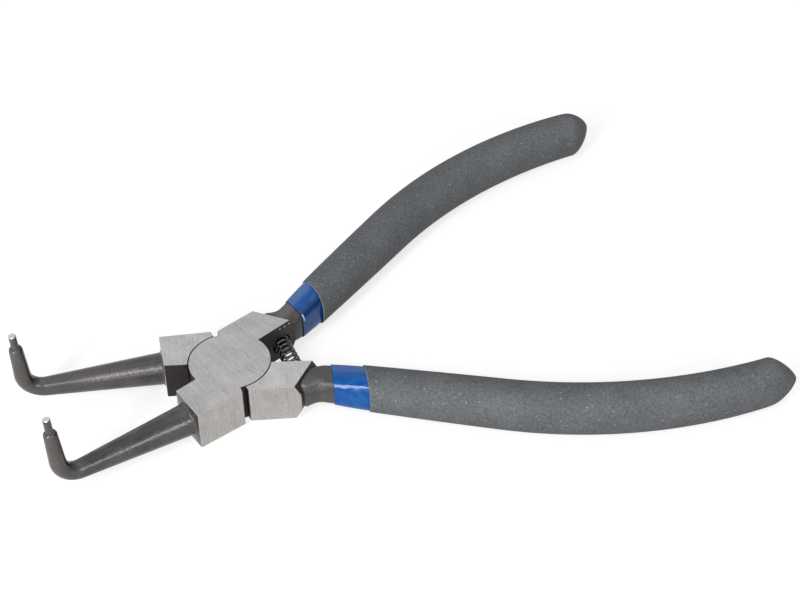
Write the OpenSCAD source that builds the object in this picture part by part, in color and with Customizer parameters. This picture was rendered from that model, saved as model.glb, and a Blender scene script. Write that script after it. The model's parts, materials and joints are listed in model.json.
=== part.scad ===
// Internal circlip pliers with jaws bent up at a right angle.
// Two forged halves cross in a lap joint, a flush rivet joins them and a coil spring holds them open.
// Each handle carries a glossy sleeve under a soft outer grip.
// The origin is on the rivet's axis, in the plane of the head's underside.
// +X runs along the tool towards the handles, and +Z points the way the tips stand.
// Each half is drawn with the tool closed, then turned open by half the opening.

/* [Opening] */
// Angle between the halves at rest, counted from closed
open_angle = 31.4; // [24:0.2:34]

/* [Head] */
// Thickness of the head
head_t = 9.8; // [8.8:0.1:12]
// Diameter of the round lap cheeks
cheek_d = 19; // [16:0.5:20]
// Distance from the closed tool's middle to the outer side of a jaw block
jaw_side = 10.8; // [10.4:0.1:13]
// Distance from the pivot to the end of a jaw block
jaw_block_l = 15.6; // [13:0.2:20]
// Distance from the closed tool's middle to a jaw block's inner face, at the cheek
jaw_face = 0.2; // [0.15:0.05:1]
// How much farther that face stands back at the end of the jaw block
jaw_face_relief = 0.4; // [0:0.1:1.5]
// Distance from the closed tool's middle to the outer side of a handle block, beside the cheek
handle_side = 10.4; // [10.2:0.1:13]
// How much farther that side stands out at the end of the handle block
handle_side_flare = 0.6; // [0:0.1:1.5]
// Distance from the closed tool's middle to a handle block's inner face, at the cheek
handle_face = 1.8; // [1:0.1:3]
// How much farther that face stands back at the end of the handle block
handle_face_relief = 0.9; // [0:0.1:1.5]
// Distance from the pivot to where the handle block starts to narrow
handle_block_l = 19; // [18:0.2:24]
// How much nearer the pivot that place lies on the block's outer side
handle_end_slope = 4.8; // [3:0.1:5.6]
// Length of the bevels that narrow the handle block's end
handle_bevel_l = 1.25; // [0.6:0.05:2]
// Height of those bevels
handle_bevel_h = 2.8; // [1.6:0.1:3.4]
// Angle of the stop shoulders from square, with the tool closed
stop_angle = 19.5; // [19.2:0.1:24]

/* [Jaws] */
// Distance from the closed tool's middle to the jaw's axis, at its block
jaw_root_y = 5.35; // [5:0.05:6]
// Straight length of a jaw, from its block to the bend
jaw_l = 27.2; // [18:0.2:45]
// Diameter at the jaw's root
jaw_root_d = 7.7; // [5.6:0.1:8.2]
// Diameter where the bend starts
jaw_bend_d = 4.5; // [3.8:0.1:5]
// Diameter at the shoulder below the tip pin
jaw_shoulder_d = 3.2; // [2.8:0.1:3.6]
// Height of the jaw's axis over the underside
jaw_z = 4.75; // [4.5:0.05:5.2]
// Angle at which the closed jaws lean towards each other
jaw_lean = 4.5; // [2:0.1:5]
// Radius of the bend, on the jaw's axis
bend_r = 5.1; // [3:0.1:8]
// Angle of the bend
bend_angle = 87.5; // [30:0.5:90]
// Angle at which the bent ends lean in towards each other
post_lean = 3; // [0:0.5:5]
// Length of the bent end, from the bend to the shoulder
post_l = 8.9; // [5:0.1:20]
// Radius of the fillet where a jaw leaves its block
jaw_fillet = 0.6; // [0.2:0.1:0.7]

/* [Tips] */
// Diameter of the tip pins
tip_d = 1.8; // [0.9:0.1:2.2]
// Length of the tip pins
tip_l = 3.8; // [1.5:0.1:6]

/* [Handles] */
// Angle of the handle from the middle, with the tool closed
handle_angle = 17.8; // [12:0.2:22]
// Straight length of the handle, from the head
handle_straight = 45; // [30:1:60]
// Radius of the bowed part of the handle
handle_bow_r = 109; // [90:1:200]
// Length of the handle's steel tang, from the head
tang_l = 105; // [80:1:130]
// Distance that the handle's axis starts behind the end of the handle block
shank_back = 0.6; // [0:0.1:2]
// Distance from the handle block's inner face to where the handle's axis starts
shank_offset = 2.35; // [2:0.05:3.4]
// Height of the handle's axis over the underside
handle_z = 5.2; // [4.9:0.05:5.6]
// Half width of the shank at the head
shank_w = 3.55; // [3.4:0.05:3.9]
// Half height of the shank at the head
shank_h = 3.5; // [3.2:0.1:3.8]
// Half width of the tang at its middle
tang_mid_w = 4.05; // [3.6:0.05:4.2]
// Half height of the tang at its middle
tang_mid_h = 4.6; // [3.8:0.1:4.8]
// Half width of the tang at its end
tang_end_w = 2.6; // [2:0.1:3]
// Half height of the tang at its end
tang_end_h = 3.2; // [2:0.1:3.4]
// Radius of the fillet where the shank leaves its block, on its outer side
shank_fillet = 1.8; // [0.5:0.1:2.4]
// How far the shank's inner side is drawn in where it leaves its block
shank_tuck = 1.6; // [1.6:0.05:2]

/* [Grips] */
// Distance along the handle from the head to the middle of the sleeve's mouth
sleeve_start = 4.85; // [4.7:0.05:9]
// Angle at which the mouths of sleeve and grip lean away from the head on their outer side
mouth_lean = 21; // [0:1:22]
// Wall of the glossy sleeve
sleeve_wall = 0.35; // [0.3:0.05:0.6]
// Length of the sleeve that shows as a collar in front of the grip
collar_l = 8.2; // [3:0.1:12]
// Half width of the grip at its mouth
grip_front_w = 5.2; // [5:0.05:7]
// Half width of the grip at its middle
grip_mid_w = 5.55; // [5.2:0.05:7]
// Half width of the grip at its end
grip_end_w = 4.4; // [4.2:0.1:6]
// Half height of the grip at its mouth
grip_front_h = 5.05; // [4.9:0.05:6]
// Half height of the grip at its middle
grip_mid_h = 6; // [5.4:0.1:8]
// Half height of the grip at its end
grip_end_h = 6; // [4.6:0.1:8]
// Thickness of the grip beyond the sleeve's end
grip_end_t = 8.3; // [4:0.1:10]
// How far the point of the grip's rounded end lies to the outer side
grip_end_skew = 1.2; // [0:0.1:2]

/* [Spring] */
// Distance from the pivot to the spring's axis
spring_x = 15; // [14:0.1:16]
// Height of the spring's axis above the underside of the head
spring_z = 3.9; // [3.4:0.1:6]
// Outer diameter of the spring
spring_d = 4.3; // [3:0.1:4.6]
// Diameter of the spring's wire
wire_d = 0.6; // [0.5:0.05:0.9]
// Number of turns
spring_turns = 14; // [8:1:16]
// Angle round the spring's axis at which its wire starts
spring_start = 85; // [0:5:355]
// Distance from the tool's middle to the floor of a spring pocket, at rest
pocket_reach = 10.1; // [9:0.1:10.6]

/* [Rivet] */
// Diameter of the rivet's shank
rivet_d = 6.4; // [4:0.2:8]
// How much wider the flush countersunk heads are than the shank
rivet_head_grow = 2.2; // [0.8:0.2:3]

/* [Clearances] */
// Running clearance round the rivet
rivet_clearance = 0.05; // [0.02:0.01:0.1]
// Gap between the two cheeks
lap_gap = 0.1; // [0.06:0.02:0.3]
// Gap between a cheek's rim and the other half's blocks
rim_gap = 0.3; // [0.2:0.05:0.5]
// Radial room for the spring in its pockets
spring_room = 0.4; // [0.2:0.05:0.5]
// Gap between the spring's ends and the pocket floors
spring_end_gap = 0.05; // [0.02:0.01:0.1]
// Gap between tang and sleeve, and between sleeve and grip
coat_gap = 0.05; // [0.03:0.01:0.1]

/* [Hidden] */

// Sides of the swept sections, distance between sections along a handle, the share of it kept free at
// the ends, and steps round a bend
sides = 24;
handle_step = 7;
station_margin = 0.05;
dome_steps = 4;
bend_steps = 6;
fillet_steps = 3;
// Sides of the spring's wire, and sections in one turn
wire_sides = 6;
turn_steps = 12;
// Fineness of the turned surfaces
round_fn = 96;
pin_fn = 48;

// Squareness of the handle sections: 2 is an ellipse, more is squarer
shank_square = 5;
tang_square = 3;
grip_square = 2.2;
// Squareness of the rounded ends along the handle, and the angle at which their last section lies
dome_square = 1.7;
dome_stop = 80;
// How deep a sweep starts inside the block that carries it
jaw_bury = 2;
shank_bury = 2;
// Length of the shank's fillet for its radius, and the share of it that grows the shank's height
fillet_run = 2;
fillet_rise = 0.25;
// Width and height of the rounded shoulder below a tip pin, and the chamfer on the pin's end
shoulder_w = 0.6;
shoulder_h = 1;
tip_chamfer = 0.15;
// Overlap that makes a cut pass clean through
over = 1;

cheek_r = cheek_d / 2;
lap_z = head_t / 2;
recess_r = cheek_r + rim_gap;
rivet_r = rivet_d / 2;
rivet_head_h = rivet_head_grow / 2;
rivet_head_r = rivet_r + rivet_head_h;
half_open = open_angle / 2;
sleeve_end = tang_l + sleeve_wall + coat_gap;
grip_start = sleeve_start + collar_l;
grip_end = sleeve_end + coat_gap + grip_end_t;
pocket_d = spring_d + 2 * spring_room;
coil_r = (spring_d - wire_d) / 2;
spring_l = 2 * (pocket_reach - spring_end_gap);
bend_l = bend_r * bend_angle * PI / 180;
post_start = jaw_l + bend_l;
shoulder_s = post_start + post_l;
tang_round = tang_end_h / 2;
shank_run = fillet_run * shank_fillet;
flare_y = handle_face + handle_face_relief;
shank_root = [handle_block_l - shank_back, flare_y + shank_offset];

// Closed solid through a list of rings that all have the same number of points
module sweep(rings) {
  count = len(rings[0]);
  last = len(rings) - 1;
  polyhedron(
    points = [for (ring = rings) each ring],
    faces = concat(
      [[for (i = [0 : count - 1]) i]],
      [for (k = [0 : last - 1], i = [0 : count - 1])
        let (j = (i + 1) % count)
        each [
          [k * count + i, (k + 1) * count + i, (k + 1) * count + j],
          [k * count + i, (k + 1) * count + j, k * count + j],
        ]
      ],
      [[for (i = [count - 1 : -1 : 0]) last * count + i]]
    )
  );
}

// Places a half, drawn closed as the upper one, where it lies at rest
module at_rest(lower) {
  mirror([0, lower ? 1 : 0, 0])
    rotate([0, 0, half_open])
      children();
}

// Jaw

// Direction of the closed upper half's jaw, seen from above
function jaw_dir() = [-cos(jaw_lean), sin(jaw_lean), 0];
function jaw_side_dir() = [-sin(jaw_lean), -cos(jaw_lean), 0];
// Direction in which the jaw bends up, and the one square to it and to the jaw
function bend_dir() = cos(post_lean) * [0, 0, 1] - sin(post_lean) * jaw_side_dir();
function bend_side_dir() = sin(post_lean) * [0, 0, 1] + cos(post_lean) * jaw_side_dir();
function jaw_root() = [-jaw_block_l, -jaw_root_y, jaw_z];

// Angle of the jaw's axis above level, at a distance along it
function jaw_rise(s) = s < jaw_l ? 0 : min(bend_angle, (s - jaw_l) / bend_r * 180 / PI);

// Point on the jaw's axis: distance out along the jaw, and height
function jaw_axis(s) =
  let (a = jaw_rise(s), past = max(0, s - post_start))
  [min(s, jaw_l) + bend_r * sin(a) + past * cos(a), bend_r * (1 - cos(a)) + past * sin(a)];

function jaw_point(s) =
  let (p = jaw_axis(s))
  jaw_root() + p[0] * jaw_dir() + p[1] * bend_dir();

function jaw_radius(s) =
  s < jaw_l
  ? jaw_root_d / 2 + (jaw_bend_d - jaw_root_d) / 2 * s / jaw_l
  : jaw_bend_d / 2 + (jaw_shoulder_d - jaw_bend_d) / 2 * (s - jaw_l) / (shoulder_s - jaw_l);

function jaw_ring(s, r) =
  let (a = jaw_rise(s), across = -sin(a) * jaw_dir() + cos(a) * bend_dir())
  [for (i = [0 : sides - 1])
    jaw_point(s) + r * (cos(i * 360 / sides) * bend_side_dir() + sin(i * 360 / sides) * across)
  ];

function jaw_rings() = concat(
  [jaw_ring(-jaw_bury, jaw_radius(0) + jaw_fillet)],
  [for (i = [0 : fillet_steps])
    let (a = i * 90 / fillet_steps)
    jaw_ring(jaw_fillet * sin(a), jaw_radius(jaw_fillet * sin(a)) + jaw_fillet * (1 - sin(a)) * (1 - sin(a)))
  ],
  [jaw_ring(jaw_l / 2, jaw_radius(jaw_l / 2))],
  [for (i = [0 : bend_steps])
    let (s = jaw_l + bend_l * i / bend_steps)
    jaw_ring(s, jaw_radius(s))
  ],
  [for (i = [0 : fillet_steps])
    let (a = i * 90 / fillet_steps, s = shoulder_s - shoulder_h * (1 - sin(a)))
    jaw_ring(s, jaw_radius(s) - shoulder_w * (1 - cos(a)))
  ]
);

module tip_pin() {
  translate(jaw_point(shoulder_s - over))
    rotate([0, 0, 180 - jaw_lean])
      rotate([post_lean, 0, 0])
        rotate([0, 90 - bend_angle, 0]) {
          cylinder(d = tip_d, h = over + tip_l - tip_chamfer, $fn = pin_fn);
          translate([0, 0, over + tip_l - tip_chamfer])
            cylinder(d1 = tip_d, d2 = tip_d - 2 * tip_chamfer, h = tip_chamfer, $fn = pin_fn);
        }
}

module jaw() {
  sweep(jaw_rings());
  tip_pin();
}

// Handle

// Direction of the closed upper half's handle from the middle, at a distance along it
function handle_turn(s) =
  handle_angle - max(0, s - handle_straight) / handle_bow_r * 180 / PI;

function handle_point(s) =
  let (a = handle_turn(s), straight = min(s, handle_straight))
  shank_root
  + straight * [cos(handle_angle), sin(handle_angle)]
  + handle_bow_r * [sin(handle_angle) - sin(a), cos(a) - cos(handle_angle)];

// Share of a half width or half height that a squared-up sine or cosine reaches
function bulge(value, square) = sign(value) * pow(abs(value), 2 / square);

// Point of a section across the handle, from its half width, half height and squareness
function handle_spot(s, i, size, shift = 0) =
  let (
    a = handle_turn(s),
    p = handle_point(s),
    across = shift + size[0] * bulge(cos(i * 360 / sides), size[2])
  )
  [
    p[0] - across * sin(a),
    p[1] + across * cos(a),
    handle_z + size[1] * bulge(sin(i * 360 / sides), size[2])
  ];

// Whole section, shrunk towards its middle and shifted to the outer side
function handle_ring(s, size, shrink = 1, shift = 0) =
  [for (i = [0 : sides - 1])
    handle_spot(s, i, [size[0] * shrink, size[1] * shrink, size[2]], shift)
  ];

// Value that runs smoothly through three others, at the start, middle and end of a length
function along(u, front, mid, end) =
  front * (1 - u) * (1 - 2 * u) + mid * 4 * u * (1 - u) + end * u * (2 * u - 1);

// Half width, half height and squareness of the tang, with a coat of a given thickness round it
function tang_w(s) = along(max(0, s) / tang_l, shank_w, tang_mid_w, tang_end_w);
function tang_h(s) = along(max(0, s) / tang_l, shank_h, tang_mid_h, tang_end_h);
function tang_form(s) = shank_square + (tang_square - shank_square) * min(1, max(0, s) / grip_start);
function coat_size(s, t) = [tang_w(s) + t, tang_h(s) + t, tang_form(s)];

// The same for the outside of the grip
function grip_size(s) =
  let (u = (s - grip_start) / (grip_end - grip_start))
  [
    along(u, grip_front_w, grip_mid_w, grip_end_w),
    along(u, grip_front_h, grip_mid_h, grip_end_h),
    grip_square
  ];

// How far a leaning mouth reaches along the handle, and where one of its points lies
function mouth_reach(size) = size[0] * tan(mouth_lean);
function mouth_s(start, i, size) = start + mouth_reach(size) * bulge(cos(i * 360 / sides), size[2]);

// How far along a rounded end a step lies, and the share of the full section left there
function dome_reach(i) = sin(i * dome_stop / dome_steps);
function dome(i) = pow(1 - pow(dome_reach(i), dome_square), 1 / dome_square);

// Places of the sections along a handle, up to an end. The coats share them, so that they nest.
function stations(start, end) = concat(
  [for (k = [ceil(start / handle_step + station_margin) : floor(end / handle_step - station_margin)])
    k * handle_step
  ],
  [end]
);

// Rings of a coat of a given thickness round the tang, after its start, to a rounded end
function coat_body(start, end, t) = concat(
  [for (s = stations(start, end - tang_round)) handle_ring(s, coat_size(s, t))],
  [for (i = [1 : dome_steps])
    let (s = end - tang_round + tang_round * dome_reach(i))
    handle_ring(s, coat_size(s, t), dome(i))
  ]
);

// Rings of a coat from its leaning mouth to its rounded end
function coat_rings(start, end, t) =
  let (first = coat_size(start, t))
  concat(
    [[for (i = [0 : sides - 1])
      let (s = mouth_s(start, i, first))
      handle_spot(s, i, coat_size(s, t))
    ]],
    coat_body(start + mouth_reach(first), end, t)
  );

// Rings of the outside of the grip, likewise
function grip_rings() =
  let (first = grip_size(grip_start), full_l = grip_end - grip_end_t)
  concat(
    [[for (i = [0 : sides - 1])
      let (s = mouth_s(grip_start, i, first))
      handle_spot(s, i, grip_size(s))
    ]],
    [for (s = stations(grip_start + mouth_reach(first), full_l)) handle_ring(s, grip_size(s))],
    [for (i = [1 : dome_steps])
      let (s = full_l + grip_end_t * dome_reach(i))
      handle_ring(s, grip_size(s), dome(i), grip_end_skew * (1 - dome(i)))
    ]
  );

function reversed(list) = [for (i = [len(list) - 1 : -1 : 0]) list[i]];

// Section of the shank, with a share left of the fillet outside and of the tuck inside
function shank_ring(s, left) =
  let (grow = shank_fillet * left, tuck = shank_tuck * left)
  handle_ring(
    s,
    [tang_w(s) + (grow - tuck) / 2, tang_h(s) + grow * fillet_rise, tang_form(s)],
    1,
    (grow + tuck) / 2
  );

module shank() {
  sweep(concat(
    [shank_ring(-shank_bury, 1)],
    [for (i = [0 : fillet_steps])
      let (reach = sin(i * 90 / fillet_steps))
      shank_ring(shank_run * reach, (1 - reach) * (1 - reach))
    ],
    coat_body(shank_run, tang_l, 0)
  ));
}

module sleeve() {
  sweep(concat(
    reversed(coat_rings(sleeve_start, tang_l + coat_gap, coat_gap)),
    coat_rings(sleeve_start, sleeve_end, coat_gap + sleeve_wall)
  ));
}

module grip() {
  sweep(concat(
    reversed(coat_rings(grip_start, sleeve_end + coat_gap, 2 * coat_gap + sleeve_wall)),
    grip_rings()
  ));
}

// Head

// Jaw block, square to the jaw at its end, with a stop shoulder beside the cheek
module jaw_block() {
  end_in = jaw_face + jaw_face_relief;
  end_lean = tan(jaw_lean);
  linear_extrude(head_t)
    polygon([
      [0, 0],
      [-cheek_r, -jaw_face],
      [-jaw_block_l + (jaw_root_y - end_in) * end_lean, -end_in],
      [-jaw_block_l - (jaw_side - jaw_root_y) * end_lean, -jaw_side],
      [-jaw_side * tan(stop_angle), -jaw_side],
    ]);
}

// Handle block, bevelled above and below where it narrows into the shank
module handle_block() {
  reach = handle_block_l + 2 * handle_bevel_l;
  side_end = handle_side + handle_side_flare;
  intersection() {
    linear_extrude(head_t)
      polygon([
        [0, 0],
        [cheek_r, handle_face],
        [handle_block_l, flare_y],
        [reach, flare_y],
        [reach, side_end],
        [handle_block_l - handle_end_slope, side_end],
        [handle_side * tan(stop_angle), handle_side],
      ]);
    translate([handle_block_l, flare_y, 0])
      rotate([90, 0, atan2(handle_end_slope, side_end - flare_y)])
        linear_extrude(4 * reach, center = true)
          polygon([
            [-2 * reach, 0],
            [0, 0],
            [handle_bevel_l, handle_bevel_h],
            [handle_bevel_l, head_t - handle_bevel_h],
            [0, head_t],
            [-2 * reach, head_t],
          ]);
  }
}

// Profile of the rivet from its lower head to its upper one, grown by a clearance
function rivet_profile(grow) = [
  [rivet_head_r + grow, 0],
  [rivet_r + grow, rivet_head_h],
  [rivet_r + grow, head_t - rivet_head_h],
  [rivet_head_r + grow, head_t],
];

// Bore and countersinks for the rivet
module rivet_bore() {
  mouth_r = rivet_head_r + rivet_clearance;
  rotate_extrude($fn = round_fn)
    polygon(concat(
      [[0, -over], [mouth_r, -over]],
      rivet_profile(rivet_clearance),
      [[mouth_r, head_t + over], [0, head_t + over]]
    ));
}

// Blind pocket for the spring, square to the middle of the tool at rest
module spring_pocket() {
  rotate([0, 0, -half_open])
    translate([spring_x, 0, spring_z])
      rotate([-90, 0, 0])
        cylinder(d = pocket_d, h = pocket_reach, $fn = pin_fn);
}

// One forged half, drawn closed as the upper one, with the heights of its cheek and of the recess
// for the other half's cheek
module half(cheek, recess) {
  difference() {
    union() {
      jaw_block();
      handle_block();
      jaw();
      shank();
      translate([0, 0, cheek[0]])
        cylinder(r = cheek_r, h = cheek[1] - cheek[0], $fn = round_fn);
    }
    translate([0, 0, recess[0]])
      cylinder(r = recess_r, h = recess[1] - recess[0], $fn = round_fn);
    rivet_bore();
    spring_pocket();
  }
}

module lower_half() {
  color("silver")
    at_rest(true)
      half(cheek = [0, lap_z - lap_gap / 2], recess = [lap_z - lap_gap / 2, head_t + over]);
}

module upper_half() {
  color("silver")
    at_rest(false)
      half(cheek = [lap_z + lap_gap / 2, head_t], recess = [-over, lap_z + lap_gap / 2]);
}

module pivot_rivet() {
  color("gainsboro")
    rotate_extrude($fn = round_fn)
      polygon(concat([[0, 0]], rivet_profile(0), [[0, head_t]]));
}

// Spring: share of its length reached after a number of turns, with a closed turn at each end
function coil_reach(turn) =
  let (
    free = spring_l - wire_d,
    pitch = (free - 2 * wire_d) / (spring_turns - 2)
  )
  turn < 1 ? turn * wire_d
  : turn > spring_turns - 1 ? free - (spring_turns - turn) * wire_d
  : wire_d + (turn - 1) * pitch;

function wire_ring(turn) =
  let (a = spring_start - turn * 360, y = coil_reach(turn) - (spring_l - wire_d) / 2)
  [for (i = [0 : wire_sides - 1])
    let (b = i * 360 / wire_sides, r = coil_r + wire_d / 2 * cos(b))
    [spring_x + r * cos(a), y - wire_d / 2 * sin(b), spring_z + r * sin(a)]
  ];

module return_spring() {
  color("dimgray")
    sweep([for (k = [0 : spring_turns * turn_steps]) wire_ring(k / turn_steps)]);
}

module lower_sleeve() {
  color("royalblue")
    at_rest(true)
      sleeve();
}

module upper_sleeve() {
  color("royalblue")
    at_rest(false)
      sleeve();
}

module lower_grip() {
  color("darkgray")
    at_rest(true)
      grip();
}

module upper_grip() {
  color("darkgray")
    at_rest(false)
      grip();
}

lower_half();
upper_half();
pivot_rivet();
return_spring();
lower_sleeve();
upper_sleeve();
lower_grip();
upper_grip();
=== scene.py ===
"""Looks of the circlip pliers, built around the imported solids.

The classes hold their sizes in millimetres and degrees, and the meshes are in metres. Each half is
drawn with the tool closed, as the upper one, and is then turned open and mirrored to where it lies
at rest.
"""

import json
import logging
import math
from collections.abc import Sequence
from dataclasses import dataclass, field
from enum import Enum, IntEnum
from typing import Any

import bmesh
import bpy
import numpy as np
from mathutils import Matrix, Vector

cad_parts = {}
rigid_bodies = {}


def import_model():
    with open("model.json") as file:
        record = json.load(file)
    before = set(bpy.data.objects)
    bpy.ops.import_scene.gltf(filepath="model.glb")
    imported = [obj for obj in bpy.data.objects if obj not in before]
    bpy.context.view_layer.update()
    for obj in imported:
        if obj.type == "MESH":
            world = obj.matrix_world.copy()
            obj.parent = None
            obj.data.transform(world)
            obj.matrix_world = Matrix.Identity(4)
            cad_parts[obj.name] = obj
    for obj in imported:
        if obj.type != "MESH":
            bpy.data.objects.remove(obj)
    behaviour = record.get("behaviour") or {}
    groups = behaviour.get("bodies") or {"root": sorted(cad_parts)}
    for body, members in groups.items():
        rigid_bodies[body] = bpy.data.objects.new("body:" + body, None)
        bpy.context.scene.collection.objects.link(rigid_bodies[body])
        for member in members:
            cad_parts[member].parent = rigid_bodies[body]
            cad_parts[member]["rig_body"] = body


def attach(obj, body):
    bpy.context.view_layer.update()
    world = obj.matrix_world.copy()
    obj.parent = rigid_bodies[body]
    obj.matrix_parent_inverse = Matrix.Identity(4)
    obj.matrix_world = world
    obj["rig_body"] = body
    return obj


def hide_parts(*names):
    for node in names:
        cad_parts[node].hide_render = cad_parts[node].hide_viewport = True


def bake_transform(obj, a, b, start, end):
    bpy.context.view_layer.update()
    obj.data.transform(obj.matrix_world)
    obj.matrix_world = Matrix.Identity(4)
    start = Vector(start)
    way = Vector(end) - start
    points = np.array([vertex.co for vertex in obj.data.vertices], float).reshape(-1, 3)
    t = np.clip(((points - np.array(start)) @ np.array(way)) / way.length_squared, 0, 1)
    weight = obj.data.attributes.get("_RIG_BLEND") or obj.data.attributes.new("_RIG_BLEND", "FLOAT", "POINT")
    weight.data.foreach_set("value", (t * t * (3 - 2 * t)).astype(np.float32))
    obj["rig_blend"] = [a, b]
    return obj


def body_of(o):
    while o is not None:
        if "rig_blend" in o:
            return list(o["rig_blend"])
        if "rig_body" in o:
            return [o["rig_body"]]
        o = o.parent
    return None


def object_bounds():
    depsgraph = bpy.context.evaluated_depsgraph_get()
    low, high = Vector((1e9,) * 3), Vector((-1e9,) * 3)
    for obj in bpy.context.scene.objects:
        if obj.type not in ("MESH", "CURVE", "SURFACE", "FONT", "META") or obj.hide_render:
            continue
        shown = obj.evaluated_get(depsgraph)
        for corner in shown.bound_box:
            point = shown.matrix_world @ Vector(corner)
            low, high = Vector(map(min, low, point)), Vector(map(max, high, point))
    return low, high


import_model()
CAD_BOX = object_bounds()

MM = 0.001
LOG = logging.getLogger("pliers")

Flat = tuple[float, float]
Spot = tuple[float, float, float]
Colour = tuple[float, float, float]
Grain = float | tuple[float, float, float]

WHITE: Colour = (1.0, 1.0, 1.0)

# Sizes that several pieces share, in millimetres, and half the angle between the halves at rest
HALF_OPEN = 15.7
HEAD_T = 9.8
RIVET_R = 3.2
RIVET_HEAD_R = 4.3
SPRING_X = 15.0
SPRING_Z = 3.9

# Angle between faces above which an edge of the steel stays crisp
CRISP = math.radians(28)


class Side(Enum):
    """The two halves, named for the level of their round cheek."""

    LOWER = "lower"
    UPPER = "upper"

    @property
    def body(self) -> str:
        """CAD body that carries this side's pieces."""
        return self.value

    @property
    def sign(self) -> int:
        """+1 where the handle is on the +Y side at rest, and -1 where it is mirrored."""
        return 1 if self is Side.UPPER else -1

    @property
    def at_rest(self) -> Matrix:
        """Matrix that takes a closed upper half, in millimetres, to its place at rest, in metres.

        Returns:
            The matrix, which mirrors where the side is the lower one.
        """
        turn = Matrix.Rotation(math.radians(HALF_OPEN), 4, "Z")
        mirror = Matrix.Diagonal((MM, self.sign * MM, MM, 1.0))
        return mirror @ turn


class Skin(IntEnum):
    """Material slots of a forged half."""

    GROUND = 0
    OXIDE = 1
    BARE = 2
    # Blackened machined faces, with painted shade that is darkest near the pivot
    BLACKED = 3
    # Milled sides with their own grain, painted darker and warmer than the tops as light and shade
    MILLED = 4


class Work(Enum):
    """What a tool does to a workpiece."""

    JOIN = "UNION"
    CUT = "DIFFERENCE"
    TRIM = "INTERSECT"


class Val:
    """A node's output that can be used in Python arithmetic."""

    def __init__(self, tree: "Tree", socket: bpy.types.NodeSocket) -> None:
        """Wraps an output socket of a tree."""
        self.tree = tree
        self.socket = socket

    def also(self, name: str | int) -> "Val":
        """Another output of the same node."""
        return Val(self.tree, self.socket.node.outputs[name])

    def math(self, operation: str, *others: "Val | float") -> "Val":
        """Math node on this value and others, in that order."""
        return self.tree.math(operation, self, *others)

    def __add__(self, other: "Val | float") -> "Val":
        """self + other"""
        return self.math("ADD", other)

    __radd__ = __add__

    def __sub__(self, other: "Val | float") -> "Val":
        """self - other"""
        return self.math("SUBTRACT", other)

    def __rsub__(self, other: float) -> "Val":
        """other - self"""
        return self.tree.math("SUBTRACT", other, self)

    def __mul__(self, other: "Val | float") -> "Val":
        """self * other"""
        return self.math("MULTIPLY", other)

    __rmul__ = __mul__

    def __truediv__(self, other: "Val | float") -> "Val":
        """self / other"""
        return self.math("DIVIDE", other)

    def __rtruediv__(self, other: float) -> "Val":
        """other / self"""
        return self.tree.math("DIVIDE", other, self)

    def __pow__(self, other: "Val | float") -> "Val":
        """self ** other"""
        return self.math("POWER", other)

    def __abs__(self) -> "Val":
        """abs(self)"""
        return self.math("ABSOLUTE")

    def rise(self, low: float, high: float) -> "Val":
        """Smooth step from 0 at low to 1 at high, or the other way round if low is above high.

        Args:
            low: Value that gives 0.
            high: Value that gives 1.

        Returns:
            The step.
        """
        kind = {"interpolation_type": "SMOOTHSTEP"}
        ends = {"Value": self, "From Min": low, "From Max": high}
        return self.tree.add("ShaderNodeMapRange", kind, ends)


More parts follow.
